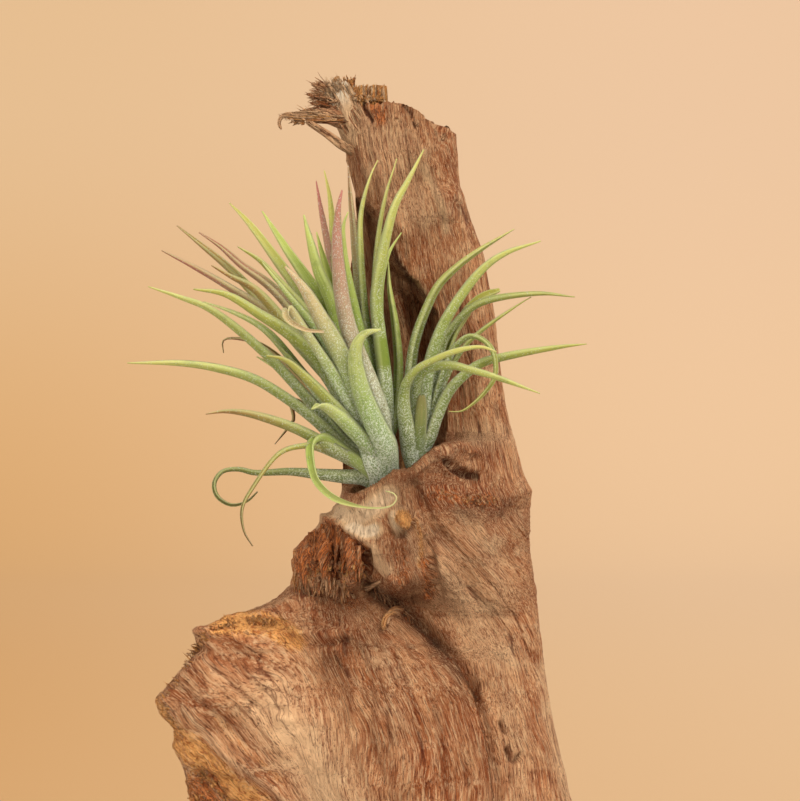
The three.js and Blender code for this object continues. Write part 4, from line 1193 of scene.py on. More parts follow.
    def trunk_slope(self, x: Array, height: Array) -> Array:
        """Says how far to the right the trunk's grain runs for each millimetre down.

        Args:
            x: places across.
            height: places up.

        Returns:
            The slope at each place.
        """
        lean = self.slope_of(self.trunk_centre, height, self.trunk_step)
        middle, spread = self.swirl_height
        swirl = fade(height - middle, spread) * smoothstep(x, *self.swirl_span)
        middle, spread = self.curl_height
        curl = fade(height - middle, spread)
        middle, spread = self.curl_place
        curl *= fade(x - middle, spread)
        return lean + self.swirl_slope * swirl + self.curl_slope * curl

    def grain_depth(self, grid: Array) -> Array:
        """Gives how far back each place lies, with the front's shallow relief left out, so that
        the grain runs over that relief and not round it.

        Args:
            grid: the places.

        Returns:
            The depth of each place.
        """
        front = grid[:, : self.front_columns]
        step = np.diff(front, axis=1)
        steep = np.abs(step[..., 1]) / np.maximum(np.hypot(step[..., 0], step[..., 1]), TINY)
        run = np.cumsum(step[..., 1] * smoothstep(steep, *self.steep_span), axis=1)
        run = np.concatenate([np.zeros((len(grid), 1)), run], axis=1)
        from_left = front[:, :1, 1] + run
        from_right = front[:, -1:, 1] + run - run[:, -1:]
        share = smoothstep(np.linspace(0, 1, self.front_columns), *self.side_span)
        depth = grid[..., 1].copy()
        depth[:, : self.front_columns] = from_left + (from_right - from_left) * share
        return depth

    def grain_of(self, grid: Array, on_front: Array) -> Array:
        """Gives each place its grain coordinates: two across the fibres and one along them.

        Args:
            grid: the places.
            on_front: which of them are on the front.

        Returns:
            The coordinates, in millimetres.
        """
        x, height = grid[..., 0], grid[..., 2]
        in_fan = (x < look_up(self.crevice, height)) & (height < self.fan_top) & on_front
        across, level = x.copy(), height.copy()
        step = height / self.flow_steps
        for _ in range(self.flow_steps):
            slope = np.where(in_fan, self.fan_slope(across, level), self.trunk_slope(across, level))
            across = across + slope * step
            level = level - step
        along = height * self.grain_rate
        grain = np.stack([across + self.fan_shift * in_fan, self.grain_depth(grid), along], axis=-1)
        return grain + self.warp.at(grid)[..., None] * self.warp_by

    def stain_and_shading_marks(self, grid: Array, on_front: Array) -> dict[str, Array]:
        """Spreads the stains, the painted shade and the painted light over the surface.

        Args:
            grid: the places.
            on_front: which of them are on the front.

        Returns:
            A value from 0 to 1 per place for each mark.
        """
        x, height = grid[..., 0], grid[..., 2]
        behind = grid[..., 1] - look_up(self.spine, height)
        reach = np.where(on_front, 1, fade(behind, self.wrap))
        marks = {name: np.zeros(x.shape) for name in TINTS}
        for patch in self.stains_and_shading:
            gap = distance_to_path(patch.path, x, height)
            cover = patch.strength * fade(gap, patch.width, patch.edge) * reach
            marks[patch.mark] = np.maximum(marks[patch.mark], cover)
        return marks

    def roughen(self, grid: Array, on_front: Array, grain: Array, marks: dict[str, Array]) -> Array:
        """Adds the fibres, lumps and torn steps that the plain form leaves out.

        Args:
            grid: the places of the plain form.
            on_front: which of them are on the front.
            grain: their grain coordinates.
            marks: their stains, painted shade and painted light, of which rust and orange are torn.
                The open cracks are added to them.

        Returns:
            The roughened places.
        """
        x, height = grid[..., 0], grid[..., 2]
        around = np.roll(grid, -1, axis=1) - np.roll(grid, 1, axis=1)
        normal = np.cross(around, np.gradient(grid, axis=0))
        normal /= np.maximum(np.linalg.norm(normal, axis=-1), TINY)[..., None]
        noises = {name: noise.at(grid) for name, noise in self.place_noises}
        noises |= {name: noise.at(grain) for name, noise in self.grain_noises}
        noises["steps"] = np.round(noises["chunks"] * self.chunk_steps) / self.chunk_steps

        def raised(heights: Heights) -> Array:
            """Adds up the named noises, each by its height."""
            return sum(tall * noises[name] for name, tall in heights)

        skinned = smoothstep(marks["pale"], *self.skinned_span)
        opened = self.split_strength * fade(noises["split"], self.split_width) * (1 - skinned)
        opened *= smoothstep(noises["weathered"], *self.weathered_span)
        marks["crack"] = np.maximum(marks["crack"], opened)
        inward = smoothstep(x - look_up(self.left_edge, height), 0, self.rust_inward)
        torn = raised(self.rust_heights) - self.rust_depth
        torn *= self.rust_edge + (1 - self.rust_edge) * inward
        lift = raised(self.plain_heights) - self.crack_depth * marks["crack"]
        lift += skinned * raised(self.skinned_heights)
        lift += marks["rust"] * torn + marks["orange"] * raised(self.orange_heights)
        for relief in self.fine_reliefs:
            gap = distance_to_path(relief.path, x, height)
            lift += on_front * relief.stand_out * fade(gap, relief.width)
        settle = smoothstep(height, 0, self.foot_calm)
        settle *= 1 - self.top_calmed * smoothstep(height, *self.top_calm)
        moved = grid + normal * (lift * settle)[..., None]
        share = np.clip((height - self.top_start) / (self.top_ring - self.top_start), 0, 1)
        tilted = self.top_start + share * (look_up(self.top_edge, x) - self.top_start)
        moved[..., 2] += np.where(share > 0, tilted - height, 0) + share**3 * self.top_rag * noises["rag"]
        moved[0, :, 2] = 0
        return moved

    def sink_pit(self, grid: Array) -> Array:
        """Presses the plant's pit into the ledge.

        Args:
            grid: the places.

        Returns:
            The places, with those over the pit pushed down to its floor.
        """
        cx, cy, cz = self.pit_centre
        rx, ry, rz = self.pit_radius
        inside = 1 - ((grid[..., 0] - cx) / rx) ** 2 - ((grid[..., 1] - cy) / ry) ** 2
        floor = cz - rz * np.sqrt(np.maximum(inside, 0))
        near = (inside > 0) & (grid[..., 2] > floor) & (grid[..., 2] < cz + self.pit_above)
        sunk = grid.copy()
        sunk[..., 2] = np.where(near, floor, grid[..., 2])
        return sunk

    def build(self, material: Material) -> Piece:
        """Makes the trunk.

        Args:
            material: the wood's finish.

        Returns:
            The trunk's object.
        """
        grid, on_front = self.body_grid()
        grain = self.grain_of(grid, on_front)
        marks = self.stain_and_shading_marks(grid, on_front)
        grid = self.sink_pit(self.roughen(grid, on_front, grain, marks))
        skin = Skin()
        skin.add_tube(grid, {"grain": grain, **marks})
        piece = skin.build("driftwood_trunk", material, "driftwood")
        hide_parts("driftwood")
        return piece


@dataclass(frozen=True)
class Strand:
    """A thick tapered strand of broken wood: its path, its two end widths, its thickness as a
    part of its width, its tint, and how strong the tint is at its two ends.
    """

    path: tuple[Point, ...]
    widths: Span
    flat: float
    tint: str = "pale"
    strength: Span = (0.4, 0.4)


@dataclass(frozen=True)
class Tuft:
    """Many fine fibres that start along a line and run one way.

    The line's points are (x, y, height), or (x, clear, height) where seated is true: clear is
    then how far the roots stand out from the wood's face.
    """

    line: tuple[Point, ...]
    scatter: Point
    count: int
    length: Span
    width: Span
    towards: Point
    stray: float
    tints: tuple[tuple[str, float], ...]
    seated: bool = False
    flat: float = 0.6
    bend: float = 0.15


@dataclass
class BrokenFibres:
    """The frayed top, the torn faces under the ledge and the torn edges of the fan."""

    wood: Driftwood
    top_strands: tuple[Strand, ...] = (
        Strand(((2, 2, 192), (-3, -1, 203), (-8, -2, 210), (-11, -3, 216), (-14.2, -3, 222.2)), (15, 6.8),
            0.8, "pale", (-0.6, 1.6)),
        Strand(((-11, -4, 212.6), (-16, -6, 213.4), (-21, -7, 213.6), (-26.4, -8, 213.4)), (5.8, 2.2), 0.5,
            "pale", (0.1, 0.8)),
        Strand(((-24.6, -8, 213.2), (-27.4, -8, 213.9), (-29.5, -8, 213), (-30.1, -8, 211.4),
            (-29.5, -8, 209.6)), (1.7, 0.8), 0.5, "pale", (0.6, 0.5)),
        Strand(((-12, 0, 217.6), (-17, 1, 219), (-22.6, 2, 220)), (4.4, 0.7), 0.6, "dark_wood_and_painted_shade", (0.6, 0.1)),
        Strand(((-12, -2, 215), (-17, -3, 215.2), (-22, -4, 214.9), (-25.8, -5, 214)), (3.2, 1), 0.6, "pale",
            (0.2, 0.6)),
        Strand(((-11, 3, 216), (-16.5, 4, 216.8), (-21.4, 5, 217.6)), (4.4, 0.7), 0.5, "dark_wood_and_painted_shade", (0.8, 0.3)),
        Strand(((-12, 1, 219.4), (-16.6, 2, 221.4), (-21.2, 3, 222.8)), (3.6, 0.7), 0.6, "pale", (0.3, 0.5)),
        Strand(((-9, -3, 203.6), (-12.5, -7, 205.4), (-16.6, -8, 208.4), (-22.4, -8, 212)), (3, 1.8), 0.4,
            "pale", (0.2, 0.5)),
        Strand(((-13, 2, 219), (-14, 4, 223.4), (-13.4, 5, 225.2)), (4.4, 1.4), 0.7, "orange", (0.6, 0.6)),
        Strand(((-6.4, 0, 212), (-6.8, -1, 217), (-7.2, -1, 222)), (7, 4), 0.8, "orange", (0.5, 1.1)),
        Strand(((-2, 0, 212), (-1.8, -1, 217), (-1.4, -1, 222.4)), (7, 4), 0.8, "orange", (0.5, 1.1)),
        Strand(((-4.2, 0.4, 212), (-4.2, -0.6, 217), (-4.2, -0.6, 220.8)), (6, 4), 0.9, "orange", (0.4, 1)),
        Strand(((-7, 8, 208), (-8.6, 8.6, 220.6)), (11, 2.6), 0.4, "dark_wood_and_painted_shade", (0.5, 0.5)),
        Strand(((4, 7, 206), (3, 8, 216.6)), (12, 3.4), 0.42, "dark_wood_and_painted_shade", (0.5, 0.5)),
        Strand(((12, 5, 203), (12.4, 6, 212.4)), (10, 3), 0.4, "dark_wood_and_painted_shade", (0.4, 0.4)),
    )
    ledge_strands: tuple[Strand, ...] = (
        Strand(((-8.6, -3, 95), (-9.2, -0.3, 89), (-8.8, 0.9, 80.5)), (6.4, 2), 0.5, "rust", (0.9, 0.7)),
        Strand(((-16, -3, 94), (-17, -0.3, 88), (-16, 0.9, 79.5)), (5.8, 1.8), 0.5, "rust", (0.9, 0.6)),
        Strand(((-20.5, -3, 92), (-22.6, -0.3, 87), (-22.4, 0.7, 79.5)), (4.6, 1.8), 0.6, "rust",
            (0.8, 0.7)),
        Strand(((-9.4, -0.6, 77), (-5, 1.8, 79.2), (-1.2, 2.6, 81.4)), (2, 0.8), 0.6, "pale", (0.5, 0.6)),
        Strand(((5, -2, 73), (2, 1.4, 72.4), (-0.2, 2.2, 70.2), (-0.4, 2.2, 67.8)), (3.2, 1.9), 0.7,
            "orange", (0.2, 0.6)),
        Strand(((3.4, -1.4, 71.4), (1, 1.6, 70.6), (0.8, 2, 68.6)), (2.4, 1.4), 0.6, "dark_wood_and_painted_shade", (0.4, 0.3)),
    )
    tufts: tuple[Tuft, ...] = (
        # the pale crown: long fibres down its strand, and fine hairs round its bleached heart
        Tuft(((-15.6, -5.2, 218.6), (-10.4, -5.6, 221)), (1.6, 0.5, 1.2), 90, (2.6, 8), (0.4, 1),
            (0.5, 0.04, -0.87), 0.04, (("pale", 1.5), ("pale", 1.2), ("pale", 0.8)), flat=0.25, bend=0.03),
        Tuft(((-12.4, -5.4, 213.6), (-7.6, -5.8, 215.6)), (2.2, 0.5, 1.8), 60, (6, 12), (0.4, 1),
            (0.52, 0.03, -0.86), 0.03, (("pale", 0.8), ("pale", 0.5), ("dark_wood_and_painted_shade", 0.5), ("rust", 0.4)),
            flat=0.25, bend=0.03),
        Tuft(((-12.4, -5.6, 222), (-15.8, -5.6, 219.4)), (1.6, 0.8, 1.4), 170, (0.8, 1.9), (0.25, 0.5),
            (-0.3, -0.75, 0.4), 0.5, (("pale", 1.35), ("pale", 1.2))),
        Tuft(((-12.4, -4.6, 222.4), (-16, -4.6, 220)), (1.4, 2.4, 1), 170, (1.8, 3.8), (0.16, 0.32),
            (-0.66, -0.3, 0.68), 0.42, (("pale", 1.3), ("pale", 1.2), ("pale", 0.9))),
        Tuft(((-12, -3, 223), (-16.6, -3, 221.4)), (1.2, 2.4, 0.8), 60, (1.6, 3.4), (0.14, 0.28),
            (-0.55, 0, 0.82), 0.36, (("pale", 0.9), ("pale", 0.4), ("dark_wood_and_painted_shade", 0.5))),
        # the brown stubs that point left below it, some of them darkened with painted shade
        Tuft(((-16, -3, 222), (-16.6, -2, 219.4)), (1, 3, 1), 50, (3, 7), (0.3, 0.8), (-1, -0.05, 0.36),
            0.14, (("dark_wood_and_painted_shade", 0.4), ("pale", 0.6), ("orange", 0.35), ("pale", 0.3))),
        Tuft(((-16, 1.4, 218.6), (-20, 2, 219.6)), (0.8, 1.4, 0.8), 40, (2, 4.6), (0.25, 0.7),
            (-1, -0.05, 0.3), 0.14, (("dark_wood_and_painted_shade", 0.5), ("pale", 0.6), ("orange", 0.4))),
        Tuft(((-16, 3.6, 216.6), (-19.4, 4.4, 217.2)), (0.8, 1.2, 0.8), 34, (2, 4.2), (0.25, 0.7),
            (-1, -0.05, 0.2), 0.14, (("dark_wood_and_painted_shade", 0.7), ("rust", 0.5), ("pale", 0.5))),
        Tuft(((-15.4, -3, 218.8), (-15, -3.4, 215)), (1, 3, 1), 56, (3, 7.4), (0.4, 1), (-1, -0.05, 0.1),
            0.13, (("dark_wood_and_painted_shade", 0.7), ("rust", 0.5), ("pale", 0.4), ("orange", 0.4))),
        Tuft(((-13, -5.6, 212.4), (-22, -8, 213.4)), (1.2, 0.6, 1.5), 80, (5, 10), (0.25, 0.65),
            (-1, -0.1, 0.05), 0.03, (("pale", 1), ("orange", 0.8), ("pale", 0.7), ("dark_wood_and_painted_shade", 0.6)), bend=0.06),
        Tuft(((-17, -7, 215), (-23, -8, 214.6)), (1, 0.8, 0.4), 18, (2, 5), (0.16, 0.34), (-0.9, -0.1, 0.4),
            0.2, (("pale", 0.7), ("orange", 0.4))),
        Tuft(((-25, -8, 213.6), (-28.6, -8, 213.2)), (0.8, 0.6, 0.5), 22, (1.6, 3.4), (0.2, 0.45),
            (-0.9, -0.1, -0.3), 0.3, (("orange", 0.6), ("pale", 0.5), ("pale", 0.7))),
        Tuft(((-26.4, -7.6, 212.2), (-23.2, -7.4, 211.6)), (0.6, 0.8, 0.5), 30, (0.8, 1.8), (0.5, 1),
            (-0.9, -0.2, -0.1), 0.4, (("pale", 0.8), ("orange", 0.6), ("dark_wood_and_painted_shade", 0.4)), bend=0.04),
        # fibres darkened partly with painted shade
        Tuft(((-11, -5.6, 204.9), (-14, -8.2, 206.8), (-17, -8.9, 208.7), (-21, -8.9, 211.2)),
            (0.3, 0.2, 0.4), 40, (3, 7), (0.2, 0.5), (-0.78, -0.06, 0.55), 0.04, (("painted_recess_shade", 0.8),
            ("dark_wood_and_painted_shade", 0.7), ("pale", 0.8), ("pale", 0.6)), bend=0.04),
        # the orange block, its ledge of crumbs and its chips
        Tuft(((-9, -2.6, 218), (0.4, -2.6, 217.6)), (0.7, 2.4, 0.6), 90, (4, 6.2), (0.9, 2), (0, 0, 1), 0.07,
            (("orange", 1.2), ("orange", 1), ("pale", 1)), flat=0.7, bend=0.04),
        Tuft(((-9, -5.4, 218.6), (-0.8, -5.6, 218.2)), (0.8, 0.8, 0.7), 150, (0.8, 1.7), (0.6, 1.3),
            (0.2, -0.8, 0), 0.6, (("orange", 0.9), ("pale", 1), ("orange", 1)), flat=0.8, bend=0.02),
        Tuft(((-12.6, -1, 220), (-9.4, 0, 222.8)), (0.9, 2, 0.8), 30, (2, 4), (0.5, 1.1), (0.1, -0.2, 0.9),
            0.3, (("orange", 0.9), ("orange", 0.7), ("rust", 0.5))),
        Tuft(((0.6, -3, 216), (2.2, -4, 216)), (0.7, 1.6, 0.7), 16, (1.2, 2.4), (0.8, 1.6), (0.3, 0, 0.9),
            0.4, (("rust", 0.9), ("dark_wood_and_painted_shade", 0.9)), flat=0.7, bend=0.03),
        # flakes along the rest of the broken top
        Tuft(((3, -6, 213.2), (8, -6, 212.4), (12, -5, 209.4), (19, -2, 206.6)), (1.2, 3, 0.5), 50,
            (1.2, 2.6), (0.8, 1.9), (0.1, 0, 1), 0.18, (("dark_wood_and_painted_shade", 0.5), ("pale", 0.4), ("rust", 0.3)),
            flat=0.4, bend=0.04),
        # the torn faces under the ledge
        Tuft(((-22, 0, 91), (-15, 0, 95.6), (-10.6, 0, 92), (-8, 0, 88.6)), (1.6, 0.5, 2.2), 80, (4, 9),
            (0.7, 1.7), (-0.03, -0.06, -1), 0.07, (("rust", 0.95), ("rust", 0.7), ("rust", 0.8)), True),
        Tuft(((-23, -0.2, 86), (-17, -0.2, 85.4), (-10, -0.2, 85), (-6, -0.2, 84.6)), (1.8, 0.4, 2.4), 90,
            (1.2, 2.6), (0.7, 1.6), (-0.1, -0.4, -0.9), 0.35, (("rust", 0.9), ("orange", 0.7),
            ("dark_wood_and_painted_shade", 0.5)), True, flat=0.8, bend=0.04),
        Tuft(((-25, 0, 81), (-18, 0, 80.6), (-11, 0, 80)), (1.4, 0.3, 1.4), 80, (2.4, 6), (0.5, 1.4),
            (0.05, -0.08, -1), 0.12, (("rust", 0.6), ("dark_wood_and_painted_shade", 0.4), ("orange", 0.5), ("pale", 0.3)), True,
            flat=0.4),
        Tuft(((-3, 0.3, 79), (2, 0.3, 75), (8, 0.3, 69)), (1.4, 1, 1.4), 46, (2, 5), (0.3, 0.8),
            (0.4, -0.4, -0.7), 0.4, (("dark_wood_and_painted_shade", 0.8), ("pale", 0.6), ("rust", 0.5)), True),
        Tuft(((14, -0.2, 107), (22, -0.2, 105), (31, -0.2, 104)), (1.8, 0.3, 1.6), 90, (0.6, 1.4),
            (0.5, 1.2), (0.3, -0.5, -0.4), 0.6, (("rust", 0.8), ("dark_wood_and_painted_shade", 0.8), ("orange", 0.5)), True,
            flat=0.6, bend=0.03),
        # the fan's torn edges
        Tuft(((-50, 0, 67), (-40, 0, 69.6), (-31, 0, 69.6)), (1.8, 0.8, 1.1), 90, (0.8, 2), (0.5, 1.3),
            (-0.3, -0.4, 0.8), 0.4, (("orange", 0.95), ("orange", 0.8), ("orange", 0.6)), True, flat=0.7,
            bend=0.03),
        Tuft(((-50, 0.1, 66.6), (-54, 0.1, 61), (-56.4, 0.1, 57)), (0.8, 1.2, 1.4), 46, (1.4, 3.2),
            (0.25, 0.7), (-0.8, -0.1, 0.4), 0.3, (("pale", 0.6), ("orange", 0.8), ("orange", 0.5)), True,
            flat=0.5, bend=0.04),
        Tuft(((-58, 0.1, 54), (-62.4, 0.1, 48), (-61, 0.1, 42), (-57.6, 0.1, 37)), (0.8, 1.2, 1.4), 46,
            (1.2, 2.8), (0.3, 0.8), (-0.8, -0.15, 0.3), 0.3, (("orange", 0.8), ("pale", 0.4),
            ("orange", 0.6)), True, flat=0.5, bend=0.04),
        Tuft(((-56, -0.2, 31), (-47, -0.2, 21), (-36, -0.2, 13)), (2.6, 0.3, 2.2), 80, (0.8, 2), (0.4, 1.1),
            (-0.6, -0.3, 0.5), 0.35, (("orange", 0.9), ("orange", 0.8), ("rust", 0.4)), True, flat=0.6,
            bend=0.03),
        Tuft(((-53, -0.2, 20), (-46, -0.2, 10), (-36, -0.2, 4)), (5, 0.3, 4), 110, (0.8, 2.2), (0.4, 1.1),
            (-0.5, -0.3, 0.5), 0.4, (("orange", 0.9), ("orange", 0.7), ("rust", 0.6)), True, flat=0.6,
            bend=0.03),
    )
    seed: int = 11
    start_axis: Point = (0.02, 1.0, 0.03)
    first_turn: float = 0.3
    blunt_width: float = 4
    tip_widths: tuple[tuple[int, float, float], ...] = ((-2, 0.85, 0.15), (-1, 0.35, 0.6))
    grain_spread: float = 400
    grain_skew: float = 0.37
    furrows: WoodNoise = WoodNoise((1, 1, 9), 51, 2)
    furrow_crowding: float = 1.1
    furrow_height: float = 0.24
    strand_steps: float = 1.3
    least_steps: int = 4
    thick_width: float = 8
    thick_sides: int = 28
    strand_sides: int = 14
    fibre_sides: int = 5
    fibre_points: tuple[Span, ...] = ((-0.25, 0), (0.4, 0.5), (0.75, 1))
    fibre_taper: float = 0.45
    root_scatter: float = 0.5
    strength_spread: Span = (0.7, 1.1)

    def add_fibre(
        self, skin: Skin, points: Array, shape: Strand, sides: int, steps: int, random: Random
    ) -> None:
        """Adds one strand or fibre.

        Args:
            skin: the mesh that takes it.
            points: the points that it runs through.
            shape: its widths, its tint and how strong that is.
            sides: how many sides it has.
            steps: how many steps along.
            random: where its ragged shape comes from.
        """
        centres = smooth_path(points, steps)
        side, normal = carried_frames(centres, np.array(self.start_axis))
        along = np.linspace(0, 1, steps + 1)[:, None]
        angle = np.linspace(0, 2 * np.pi, sides, endpoint=False)[None, :] + self.first_turn
        half = (shape.widths[0] + (shape.widths[1] - shape.widths[0]) * along) / 2
        blunt = min(1.0, shape.widths[1] / self.blunt_width)
        for ring, least, gain in self.tip_widths:
            half[ring] *= least + gain * blunt
        length = np.linalg.norm(np.diff(centres, axis=0), axis=1).sum()
        offset = random.uniform(0, self.grain_spread)
        run = along * length + 0 * angle
        grain = np.stack([angle * half + offset, 0 * run + offset * self.grain_skew, run], axis=-1)
        crowded = half * self.furrow_crowding
        furrows = np.stack([np.cos(angle) * crowded + offset, np.sin(angle) * crowded, run], axis=-1)
        ragged = half * (1 + self.furrow_height * self.furrows.at(furrows))
        rings = centres[:, None] + side[:, None] * (np.cos(angle) * ragged)[..., None]
        rings = rings + normal[:, None] * (np.sin(angle) * shape.flat * ragged)[..., None]
        rings[..., 2] = np.maximum(rings[..., 2], 0)
        marks = {name: np.zeros(rings.shape[:2]) for name in TINTS}
        start, end = shape.strength
        marks[shape.tint] += np.maximum(0, start + (end - start) * along)
        skin.add_tube(rings, {"grain": grain, **marks})

    def add_strands(self, skin: Skin, random: Random) -> None:
        """Adds the thick strands.

        Args:
            skin: the mesh that takes them.
            random: where their ragged shape comes from.
        """
        for strand in (*self.top_strands, *self.ledge_strands):
            points = np.array(strand.path, dtype=float)
            if strand in self.ledge_strands:
                points[:, 1] = self.wood.front_depth(points[:, 0], points[:, 2]) - points[:, 1]
            length = np.linalg.norm(np.diff(points, axis=0), axis=1).sum()
            steps = int(length * self.strand_steps) + self.least_steps
            sides = self.thick_sides if strand.widths[0] > self.thick_width else self.strand_sides
            self.add_fibre(skin, points, strand, sides, steps, random)

    def add_tuft(self, skin: Skin, tuft: Tuft, random: Random) -> None:
        """Adds the fibres of one tuft.

        Args:
            skin: the mesh that takes them.
            tuft: which tuft.
            random: where their differences come from.
        """
        line = np.array(tuft.line, dtype=float)
        for _ in range(tuft.count):
            spot = random.uniform(0, len(line) - 1)
            row = min(int(spot), len(line) - 2)
            root = line[row] + (line[row + 1] - line[row]) * (spot - row)
            root = root + random.normal(0, self.root_scatter, 3) * tuft.scatter
            if tuft.seated:
                root[1] = self.wood.front_depth(root[0], root[2]) - root[1]
            way = np.array(tuft.towards) / np.linalg.norm(tuft.towards) + random.normal(0, tuft.stray, 3)
            way = way / np.linalg.norm(way)
            length = random.uniform(*tuft.length)
            sway = random.normal(0, tuft.bend, 3) * length
            points = np.array([root + way * out * length + sway * bent for out, bent in self.fibre_points])
            width = random.uniform(*tuft.width)
            tint, strength = tuft.tints[random.integers(len(tuft.tints))]
            strength = strength * random.uniform(*self.strength_spread)
            fibre = Strand((), (width, width * self.fibre_taper), tuft.flat, tint, (strength, strength))
            self.add_fibre(skin, points, fibre, self.fibre_sides, self.least_steps, random)

    def build(self, material: Material) -> Piece:
        """Makes all the broken fibres.

        Args:
            material: the wood's finish.

        Returns:
            Their object.
        """
        random = np.random.default_rng(self.seed)
        skin = Skin()
        self.add_strands(skin, random)
        for tuft in self.tufts:
            self.add_tuft(skin, tuft, random)
        piece = skin.build("driftwood_fibres", material, "driftwood")
        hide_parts("driftwood")
        return piece


# ---- plant


class Tone(Enum):
    """How a leaf is coloured: (root, middle, tip, scurf at the root, scurf at the tip)."""

    SILVER = ((120, 140, 92), (138, 158, 82), (190, 190, 108), 1.0, 0.36)
    YELLOW = ((122, 136, 74), (144, 154, 66), (202, 192, 102), 0.95, 0.18)
    HEART = ((134, 150, 74), (150, 166, 72), (190, 194, 102), 0.6, 0.12)
    PINK = ((134, 140, 98), (166, 158, 106), (196, 144, 110), 1.0, 0.4)
    ROSE = ((136, 142, 104), (172, 150, 118), (180, 106, 92), 1.0, 0.36)
    RED = ((128, 136, 88), (162, 142, 94), (172, 92, 76), 0.9, 0.16)
    BLUSH = ((126, 142, 92), (150, 164, 88), (208, 172, 130), 1.0, 0.4)
    OLIVE = ((112, 126, 60), (134, 144, 56), (176, 166, 74), 0.85, 0.16)
    BROWN = ((118, 130, 66), (148, 150, 66), (164, 112, 60), 0.85, 0.18)
    STUB = ((122, 138, 90), (132, 146, 80), (130, 120, 66), 1.0, 0.05)
    CURL = ((150, 166, 92), (166, 180, 78), (206, 198, 132), 0.35, 0.05)
    LOOP = ((108, 122, 62), (118, 122, 50), (112, 92, 46), 0.85, 0.1)
    TAIL = ((116, 128, 66), (172, 158, 62), (122, 74, 40), 0.85, 0.1)
    DRY = ((168, 150, 92), (168, 124, 72), (132, 78, 44), 0.4, 0.1)


class Taper(Enum):
    """How a leaf's width runs from root to tip, as parts of its named width."""

    FULL = (
        (0, 1.15), (0.12, 1.2), (0.3, 1.1), (0.5, 0.97), (0.7, 0.8), (0.85, 0.55), (0.95, 0.26), (1, 0.1),
    )
    BLUNT = ((0, 1), (0.3, 1), (0.8, 0.9), (0.95, 0.7), (1, 0.4))
    SLIM = ((0, 1.1), (0.12, 1.15), (0.3, 0.9), (0.45, 0.62), (0.6, 0.42), (0.8, 0.34), (1, 0.1))
    WHIP = ((0, 1.1), (0.12, 1.15), (0.3, 0.9), (0.45, 0.62), (0.7, 0.46), (0.8, 0.16), (1, 0.06))
    BROAD = ((0, 1.35), (0.1, 1.4), (0.22, 1.1), (0.4, 0.66), (0.6, 0.42), (0.8, 0.3), (1, 0.1))


@dataclass(frozen=True)
class Leaf:
    """One leaf: its width, the y of its root, middle and tip, its tone, its path as x, height, x,
    height, its taper, and the stretch, as shares of its length, where its scurf is rubbed off.
    """

    width: float
    reach: Point
    tone: Tone
    path: tuple[float, ...]
    taper: Taper = Taper.FULL
    rubbed: Span | None = None


